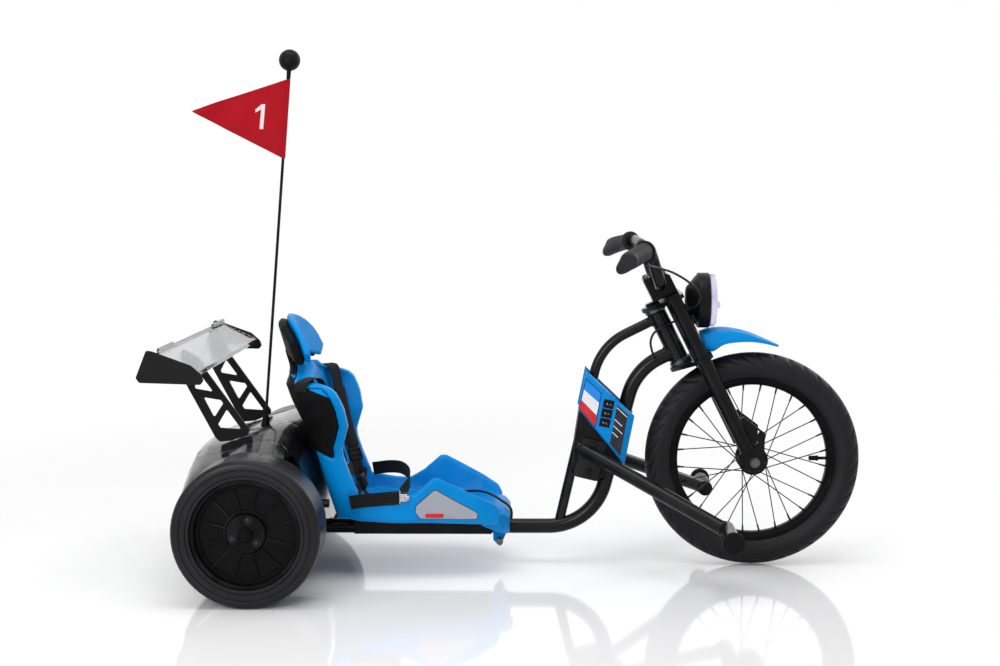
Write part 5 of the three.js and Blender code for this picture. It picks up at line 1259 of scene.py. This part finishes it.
def side_surface(y):
    """How far a line runs until it meets the plane at y."""
    return lambda edge, way: (y - edge.y) / way.y


# Radius and height up the head tube of the main tube and the upper tube
MAIN_R, MAIN_UP = 14, 249.3
UPPER_R, UPPER_UP = 9.5, 319
main_corners = [(22, 0, 71.5), (604.6, 0, 71.5), steer_point(-83.4, 0, MAIN_UP), steer_point(-8, 0, MAIN_UP)]
upper_corners = [(538.6, 0, 71.5), steer_point(-122.5, 0, UPPER_UP), steer_point(-8, 0, UPPER_UP)]
main_tube = swept(bent(main_corners, [110, 110], 3), MAIN_R, 40)
upper_tube = swept(bent(upper_corners, [110], 3), UPPER_R, 32)
piece("main_tube_bend", main_tube, TUBE_BLACK, "chassis", "main_tube", "frame_black")
piece("upper_tube_bend", upper_tube, TUBE_BLACK, "chassis", "upper_tube", "frame_black")
head_axis = round_surface(STEER_FOOT, ALONG, 17.6)
beads = [bead(meeting(steer_point(-60, 0, up), AHEAD, radius, head_axis), size)
         for up, radius, size in ((MAIN_UP, MAIN_R, 1.9), (UPPER_UP, UPPER_R, 1.7))]
piece("neck_welds", together(*beads), TUBE_BLACK, "chassis", slot="frame_black")


# Foot pegs
def hex_head(x, y, z):
    """A bolt head with its washer, its face looking out to the left."""
    head = eased(rod((x, y + 1.2, z), (x, y + 5.2, z), 5.2, 6), 0.6, 2)
    return together(rod((x, y, z), (x, y + 1.3, z), 7.02, 32), head)


def peg_bolts():
    return together(*[hex_head(x, 35.2, z) for x, z in ((606, 233), (596, 183))])


def peg_arm():
    """A bolted plate, a splayed arm and a cross tube, welded together."""
    cos, sin = math.cos(math.radians(13.5)), math.sin(math.radians(13.5))
    plate_corners = [(567 + a * cos + u * sin, 174 - a * sin + u * cos)
                     for a, u in ((0, 0), (47, 0), (47, 76), (0, 76))]
    flange = flat_plate(corners_rounded(plate_corners, 7), 30.4, 35.3)
    eased(flange, 0.8, 2, [e for e in flange.edges if e.calc_face_angle(0) > 1])
    root, tip = Vector((596, 35, 219)), Vector((838, 218, 107))
    way = tip - root
    peg = swept([(tip.x, y, tip.z) for y in (200, 201.5, 316.8)], 15, 40, [14.2, 15, 15])
    beads = [bead(meeting(root, way, 13, side_surface(35.6)), 1.9),
             bead(meeting(root, way, 13, round_surface(tip, (0, 1, 0), 15.1)), 1.8)]
    return together(flange, rod(root - way * 0.07, tip, 13, 40), peg, *beads)


for side, sign in SIDES:
    arm, bolts = on_side(peg_arm, sign), on_side(peg_bolts, sign)
    piece(f"peg_arm_{side}_tube", arm, TUBE_BLACK, "chassis", f"peg_arm_{side}", "frame_black", 40)
    piece(f"peg_bolts_{side}", bolts, FORK_BLACK, "chassis", slot="frame_black", sharp=30)


# Handlebar and grips, their corners on the left
BAR_END, BAR_SHOULDER, BAR_KNEE = Vector((653, 341, 594)), Vector((694, 228, 609)), Vector((705, 112, 603))
GRIP_FROM = BAR_SHOULDER.lerp(BAR_END, 0.16)
GRIP_WAY = (BAR_END - BAR_SHOULDER).normalized()


def bar_shape():
    left = [BAR_END - GRIP_WAY * 3, BAR_SHOULDER, BAR_KNEE, steer_point(26, 88, 379)]
    corners = [OTHER_SIDE @ p for p in left] + left[::-1]
    return swept(bent(corners, [40, 34, 30, 30, 34, 40], 4), 11.1, 32)


def on_bar(outline):
    """A turned shape at the inner end of the left grip, its axis along the bar."""
    turn = Vector((0, 1, 0)).rotation_difference(GRIP_WAY).to_matrix().to_4x4()
    return placed(turned(outline, 48), Matrix.Translation(GRIP_FROM) @ turn)


def grip_body(start):
    """A rubber grip: fine ribs round it, and a palm wing that grows towards its end."""
    palm = Vector((-1, 0, -1))
    palm = (palm - GRIP_WAY * palm.dot(GRIP_WAY)).normalized()
    other = GRIP_WAY.cross(palm)
    origin = GRIP_FROM + GRIP_WAY * start
    # Share of the length, size and wing
    stations = [(0, 0.96, 0), (0.02, 1, 0), (0.3, 1, 0.15), (0.6, 1.02, 0.6), (0.85, 1, 1), (0.96, 0.94, 1),
                (1, 0.8, 0.8)]
    loops = []
    for k in range(97):
        share = k / 96
        size, wing = read_off(stations, share)
        rib = 0.7 if 8 < k < 84 and k % 5 == 0 else 0.0
        loop = []
        for i in range(40):
            a = math.tau * i / 40
            soft = min(1, max(0, 0.4 - math.cos(a)) * 1.4)
            reach = 16 * size - rib * soft + 14 * wing * max(0, math.cos(a)) ** 6
            out = palm * reach * math.cos(a) + other * reach * math.sin(a)
            loop.append(origin.lerp(BAR_END, share) + out)
        loops.append(loop)
    return lofted(loops)


def grip_flange():
    half = [(11.2, -3.4), (18.4, -3.4), (19.2, -2.8), (19.4, -1.6)]
    return on_bar(half + [(r, -y) for r, y in reversed(half)])


def throttle_case():
    """The twist throttle's housing on the right, with its cable socket."""
    dome = on_bar([(11.2, -12), (15, -12), (16, -11.4), (19.1, -2.6), (19.4, -1.2), (19.4, -0.3), (18.8, 0),
                   (11.2, 0)])
    return mirrored(together(dome, rod((691, 238, 592), (691, 238, 586.5), 3.9, 24, 3.4)))


throttle_body = frame["nodes"]["throttle_grip"]["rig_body"]
left_grip = together(grip_body(0), grip_flange())
piece("handlebar_bend", bar_shape(), TUBE_BLACK, "fork", "handlebar", "frame_black")
piece("grip_rubber_left", left_grip, GRIP_RUBBER, "fork", "grip_left", "soft_rubber", 50)
piece("twist_grip", mirrored(grip_body(1.0)), GRIP_RUBBER, throttle_body, "throttle_grip", "soft_rubber", 50)
piece("throttle_case", throttle_case(), CASE_BLACK, "fork", "throttle_housing", "black_plastic", 32)


def stem_bolts():
    """Four socket screws on top of the stem block."""
    screws = []
    for s in (-1, 1):
        for forward in (10, 43):
            low, top = steer_point(forward, s * 20, 384), steer_point(forward, s * 20, 401)
            screws += [rod(low, top, 4.6, 24), rod(top, top + ALONG * 0.9, 4.6, 24, 3.9),
                       rod(top - ALONG * 0.2, top + ALONG * 1.3, 2.3, 6)]
    return together(*screws)


piece("stem_screws", stem_bolts(), DARK_STEEL, "fork", slot="bright_steel", sharp=30)


# Headlight
def about_x(outline, height=504, steps=72):
    """A turned shape about a line along X, by default the lamp's axis: pairs of place along X and radius."""
    return placed(turned([(r, x) for x, r in outline], steps),
                  Matrix.Translation((0, 0, height)) @ Matrix.Rotation(-math.pi / 2, 4, "Z"))


def lamp_bucket():
    """A hollow drum with a domed back, a stepped rim and the bracket that clamps it to the fork legs."""
    bowl = about_x([(779, 0), (779, 22), (779.8, 25), (782, 28), (797.4, 46.2), (799.4, 47.4), (800.4, 50.4),
                    (801.8, 51.9), (820.6, 51.9), (822.4, 51.0), (822.8, 49.8), (822.8, 47.4), (819, 46.6),
                    (807, 39.5), (798.4, 28), (793.4, 13), (792, 0)])
    root = steer_point(40.4, 0, 295)
    web = corners_rounded([(782, 484), (803.5, 459), (root.x + 2, root.z - 3), (root.x - 1, root.z + 8)], 3)
    tie = placed(block(51.7, 57.7, -62, 62, 289.2, 300.8), STEER)
    return together(bowl, *[flat_plate(web, s * 14, s * 20) for s in (-1, 1)], eased(tie, 1, 2))


def lamp_reflector():
    """A plated bowl inside the drum, with the lamp's small dome at its root."""
    bowl = about_x([(822.6, 46.8), (818.8, 46), (806.8, 38.9), (798.2, 27.4), (793.6, 13), (792.6, 0),
                    (794, 0), (795, 12.4), (799.4, 26.4), (807.8, 37.7), (819.4, 44.7), (822.6, 45.6),
                    (822.6, 46.8)])
    dome = about_x([(793.4, 0), (793.4, 8.4), (798, 8.2), (802.4, 6.2), (804.8, 3.2), (805.4, 0)])
    return together(bowl, dome)


def lamp_lens():
    """A clear lens with a stepped rim and a small nub."""
    disc = about_x([(823.1, 0), (823.1, 49.3), (824, 49.5), (831, 49.3), (833.2, 48), (834.8, 45.2),
                    (835, 42), (835, 0)])
    nub = about_x([(831, 6.3), (832, 6.5), (841.6, 6.5), (843.4, 5.8), (844, 4), (844, 0)], 495, 32)
    return together(disc, nub)


piece("lamp_drum", lamp_bucket(), PLATE_BLACK, "fork", "headlight_bucket", "black_plastic", 40, 0.4)
piece("lamp_reflector", lamp_reflector(), STEEL, "fork", slot="bright_steel", sharp=40)
piece("lamp_lens", lamp_lens(), LENS_CLEAR, "fork", "headlight_lens", "clear_plastic", 40)


# Fender
def fender_skin():
    """A moulded beak with a raised spine, low at the tip."""
    # Place forward, height of the spine, height of the edge and half width
    stations = [(806, 446, 412, 40), (822, 451, 411, 42), (850, 453, 424, 42), (892, 446, 428, 36),
                (925, 433, 424, 25), (954, 420, 416, 8)]
    rows = [(-1, 0), (-0.99, 0.22), (-0.955, 0.5), (-0.89, 0.72), (-0.8, 0.84), (-0.6, 0.92), (-0.42, 0.95),
            (-0.34, 0.99), (-0.2, 1), (0, 1)]
    rows += [(-y, z) for y, z in reversed(rows[:-1])]
    tops, _ = smooth_route([(x, 0, top) for x, top, _, _ in stations], 60)
    lows, _ = smooth_route([(x, half, low) for x, _, low, half in stations], 200)
    loops = []
    for spot in tops:
        edge = min(lows, key=lambda p: abs(p.x - spot.x))
        lean = 9 * max(0, 1 - (spot.x - 806) / 40)
        loops.append([(spot.x + lean * (1 - z), y * edge.y, edge.z + z * (spot.z - edge.z)) for y, z in rows])
    return lofted(loops, closed=False)


piece("fender_beak", fender_skin(), BLUE, "fork", "fender", "blue_shell", 22, wall=2.6)
tongue = placed(block(29.4, 62, -40, 40, 223.4, 226.2), STEER)
piece("fender_tongue", tongue, BLUE, "fork", slot="blue_shell", bevel=0.8)


# Wing struts and stripes
STRUT = [(-92, 262), (-84, 254), (-62, 256), (-30, 269), (-30, 278), (-122, 407), (-152, 422.5), (-156, 410),
         (-144, 360)]
STRUT_HOLES = [[(-117.5, 378), (-94, 346), (-127.5, 352), (-128.5, 357)],
               [(-113, 336.5), (-80.5, 331), (-76.5, 325), (-92, 301), (-95, 301.5)],
               [(-70, 314), (-43.5, 277), (-82.5, 279.5), (-87, 286)]]
RED_STRIPE = [(-167.9, 419.8), (-102.6, 402.6), (-100.8, 398.3), (-158.9, 415.0)]
BLUE_STRIPE = [(-170.7, 413.6), (-115.4, 398.6), (-112.9, 395.0), (-166.5, 409.0)]
# Distance from the middle of the end plates' inner faces
ENDPLATE_Y = 308.4
for side, sign in SIDES:
    holes = [corners_rounded(hole, 2.6, 3) for hole in STRUT_HOLES]
    shape = holed_plate(corners_rounded(STRUT, 4, 4), holes, sign * 126, sign * 131)
    piece(f"wing_truss_{side}", shape, PLATE_BLACK, "chassis", f"wing_strut_{side}", "black_plastic", 40, 0.5)
    for name, outline, ink in (("red", RED_STRIPE, INK_RED), ("blue", BLUE_STRIPE, INK_BLUE)):
        stripe = flat_plate(outline, sign * (ENDPLATE_Y - 0.5), sign * ENDPLATE_Y)
        piece(f"endplate_{name}_{side}", stripe, ink, "chassis", slot="black_plastic", sharp=30)


# Seat stickers
def sticker(outline, lift):
    """A thin sticker of that outline, pairs of x and z, laid on the near side of the seat."""
    shape = bmesh.new()
    shape.faces.new([shape.verts.new((x, -260, z)) for x, z in outline])
    bmesh.ops.triangulate(shape, faces=shape.faces)
    bmesh.ops.subdivide_edges(shape, edges=shape.edges, cuts=7, use_grid_fill=True)
    for v in shape.verts:
        spot = seat_surface.ray_cast(v.co, Vector((0, 1, 0)))[0]
        if spot:
            v.co = spot - Vector((0, lift, 0))
    bmesh.ops.recalc_face_normals(shape, faces=shape.faces)
    if sum(f.normal.y for f in shape.faces) > 0:
        bmesh.ops.reverse_faces(shape, faces=shape.faces)
    return shape


DECAL = corners_rounded([(311.9, 168.4), (390.6, 122), (390.6, 109), (284, 112.1), (274.6, 126),
                         (276.8, 138)], 8)
RED_BAR = corners_rounded([(294.3, 123), (327.9, 122.5), (327.9, 114.4), (294.3, 114.9)], 3.9)
for name, outline, lift, ink in (("edge", DECAL, 0.5, INK_BLACK), ("field", inset(DECAL, 1.3), 0.7, INK_GREY),
                                 ("bar", RED_BAR, 0.9, INK_RED)):
    for side, shape in (("right", sticker(outline, lift)), ("left", mirrored(sticker(outline, lift)))):
        piece(f"seat_sticker_{name}_{side}", shape, ink, "seat", slot="blue_shell", sharp=60)


# Side panels, button marks and end plates
PANEL_TILT = math.radians(11.5)
PANEL_UP = Vector((math.sin(PANEL_TILT), math.cos(PANEL_TILT)))


def panel_outline(inward, front_inward):
    """The side panel's outline, moved inwards on its sides and by its own amount at the front."""
    foot = Vector((576, 303))
    top = foot + PANEL_UP * 74
    front = top + Vector((91, -87))
    corners = [foot, front - PANEL_UP * 95, front, top]
    amounts = [inward, front_inward, inward, inward]
    points = []
    for i, corner in enumerate(corners):
        into = (corner - corners[i - 1]).normalized()
        out = (corners[(i + 1) % 4] - corner).normalized()
        spot = corner + (out * amounts[i - 1] - into * amounts[i]) / into.cross(out)
        points.append((spot.x, spot.y))
    return points


def side_panel():
    """The right panel, a shallow box whose front edge slopes back."""
    rows = [(30.4, 0, 0), (38.5, 0, 0), (44, 2.5, 11)]
    return lofted([[(x, -y, z) for x, z in panel_outline(inward, front)] for y, inward, front in rows])


def button_marks():
    """A dark frame round each button, and two small grey marks on it."""
    wells, marks = [], []
    across = Vector((PANEL_UP.y, -PANEL_UP.x))
    for i in range(3):
        centre = Vector((633, 312)) - PANEL_UP * (i * 17.9)
        corners = [tuple(centre + across * (a * 10.2) + PANEL_UP * (u * 8.2))
                   for a, u in ((-1, -1), (1, -1), (1, 1), (-1, 1))]
        wells.append(holed_plate(corners, [inset(corners, 0.9)], PANEL_Y - 0.25, PANEL_Y + 0.3))
        for shift, radius in ((-3.2, 1.3), (2.6, 0.9)):
            x, z = centre + across * shift
            for away, size, sides in ((0, radius, 16), (1.9, 0.6, 12)):
                marks.append(rod((x + away, -45.3, z - away), (x + away, -45.62, z - away), size, sides))
    return together(*wells), together(*marks)


piece("side_panel_right", side_panel(), BLUE, "chassis", "control_panel_right", "blue_shell", 20, 0.7)
piece("side_panel_left", mirrored(side_panel()), BLUE, "chassis", "control_panel_left", "blue_shell", 20, 0.7)
wells, marks = button_marks()
piece("button_wells", wells, INK_BLACK, "chassis", slot="black_plastic", sharp=30)
piece("button_signs", marks, INK_GREY, "chassis", slot="black_plastic", sharp=30)
ENDPLATE = corners_rounded([(-175, 441), (-164, 439), (-97.3, 414.5), (-80, 399), (-76, 388), (-82, 381),
                            (-188, 384.5), (-194, 393)], 5)
for side, sign in SIDES:
    shape, node = flat_plate(ENDPLATE, sign * ENDPLATE_Y, sign * (ENDPLATE_Y + 3.8)), f"wing_endplate_{side}"
    piece(f"endplate_{side}", shape, PLATE_BLACK, "chassis", node, "black_plastic", 40, 0.8)


# Tongue of the near lap strap
def lap_tongue():
    """The near strap's plated tongue, with its bar."""
    tongue = eased(block(247, 262, -149.4, -147.2, 146, 160), 0.7)
    hook = eased(block(258, 266, -149.8, -146.8, 149, 157), 0.8)
    return together(tongue, hook, rod((248, -148.3, 142), (248, -148.3, 165), 1.8, 16))


piece("lap_tongue", lap_tongue(), STEEL, "seat", slot="bright_steel", sharp=40)


# Rear grille on the cover
def cover_rear(z):
    """How far back the cover's rear face is at a height."""
    return read_off([(78, -148), (130, -157), (168, -155), (205, -144), (237, -128)], z)[0]


def rear_grille():
    """Seven slats in a shallow frame across the cover's back."""
    slats = []
    for z in range(124, 194, 10):
        x = cover_rear(z)
        slats.append(eased(block(x - 2.4, x + 3, -86, 86, z - 1.8, z + 1.8), 0.7))
    corners = [(cover_rear(z) + 0.4, z) for z in (116, 142, 168, 192)]
    for s in (-1, 1):
        for (x0, low), (x1, high) in zip(corners, corners[1:]):
            slats.append(rod((x0, s * 88, low), (x1, s * 88, high), 3.2, 16))
    for x, z in (corners[0], corners[-1]):
        slats.append(rod((x, -88, z), (x, 88, z), 3.2, 16))
    return together(*slats)


piece("cover_grille", rear_grille(), PLATE_BLACK, "chassis", slot="gloss_cover", sharp=40)


# Floor, world and lamps
def make_floor():
    """A pale floor that keeps the shadow and fades to white away from the trike."""
    f = Finish("studio_floor")
    x, y, _ = f.axes()
    reach = x.maths("SQRT", x * x + y * y * 0.6)
    pale = f.node("ShaderNodeBsdfPrincipled", {}, {
        "Base Color": colour(250, 250, 251), "Roughness": 0.07, "Specular IOR Level": 0.5})
    white = f.node("ShaderNodeEmission", {}, {"Color": (1, 1, 1, 1), "Strength": 1.0})
    ray = f.node("ShaderNodeLightPath", output="Is Camera Ray")
    mixed = f.node("ShaderNodeMixShader", {}, {0: reach.ramp(0.75, 1.9) * ray, 1: pale, 2: white})
    f.node("ShaderNodeOutputMaterial", {}, {"Surface": mixed})
    shape = bmesh.new()
    bmesh.ops.create_grid(shape, x_segments=1, y_segments=1, size=14)
    floor = new_object("floor", mesh_of("floor", shape))
    floor.data.materials.append(f.material)
    floor.location.z = -0.0005


def make_world():
    """White where it is seen, mirrored or looked through, and a softer white as light."""
    world = bpy.data.worlds.new("studio")
    net = Net(world)
    path = net.tree.nodes.new("ShaderNodeLightPath").outputs
    camera, glossy, through = (Wire(net, path[f"Is {kind} Ray"])
                               for kind in ("Camera", "Glossy", "Transmission"))
    add = {"operation": "ADD", "use_clamp": True}
    seen = net.node("ShaderNodeMath", add, {0: camera, 1: glossy + through})
    soft, backdrop = (net.node("ShaderNodeBackground", {}, {"Color": (1, 1, 1, 1), "Strength": strength})
                      for strength in (0.6, 1.0))
    mixed = net.node("ShaderNodeMixShader", {}, {0: seen, 1: soft, 2: backdrop})
    net.node("ShaderNodeOutputWorld", {}, {"Surface": mixed})
    bpy.context.scene.world = world


def make_lamp(name, place, target, size, power):
    lamp = bpy.data.lights.new(name, "AREA")
    lamp.shape = "RECTANGLE"
    lamp.size, lamp.size_y = size
    lamp.energy = power
    made = new_object(name, lamp)
    made.location = place
    made.rotation_mode = "QUATERNION"
    made.rotation_quaternion = (Vector(target) - Vector(place)).to_track_quat("-Z", "Y")


make_floor()
make_world()
make_lamp("top_softbox", (-0.1, -0.5, 2.6), (0, 0, 0.2), (2.2, 1.5), 30)
make_lamp("front_softbox", (-1.2, -2.6, 1.3), (0, 0, 0.3), (1.5, 1.1), 32)
make_lamp("rear_softbox", (1.9, 1.7, 1.6), (0, 0, 0.3), (1.2, 1.4), 14)
bpy.context.scene.view_settings.view_transform = "Standard"
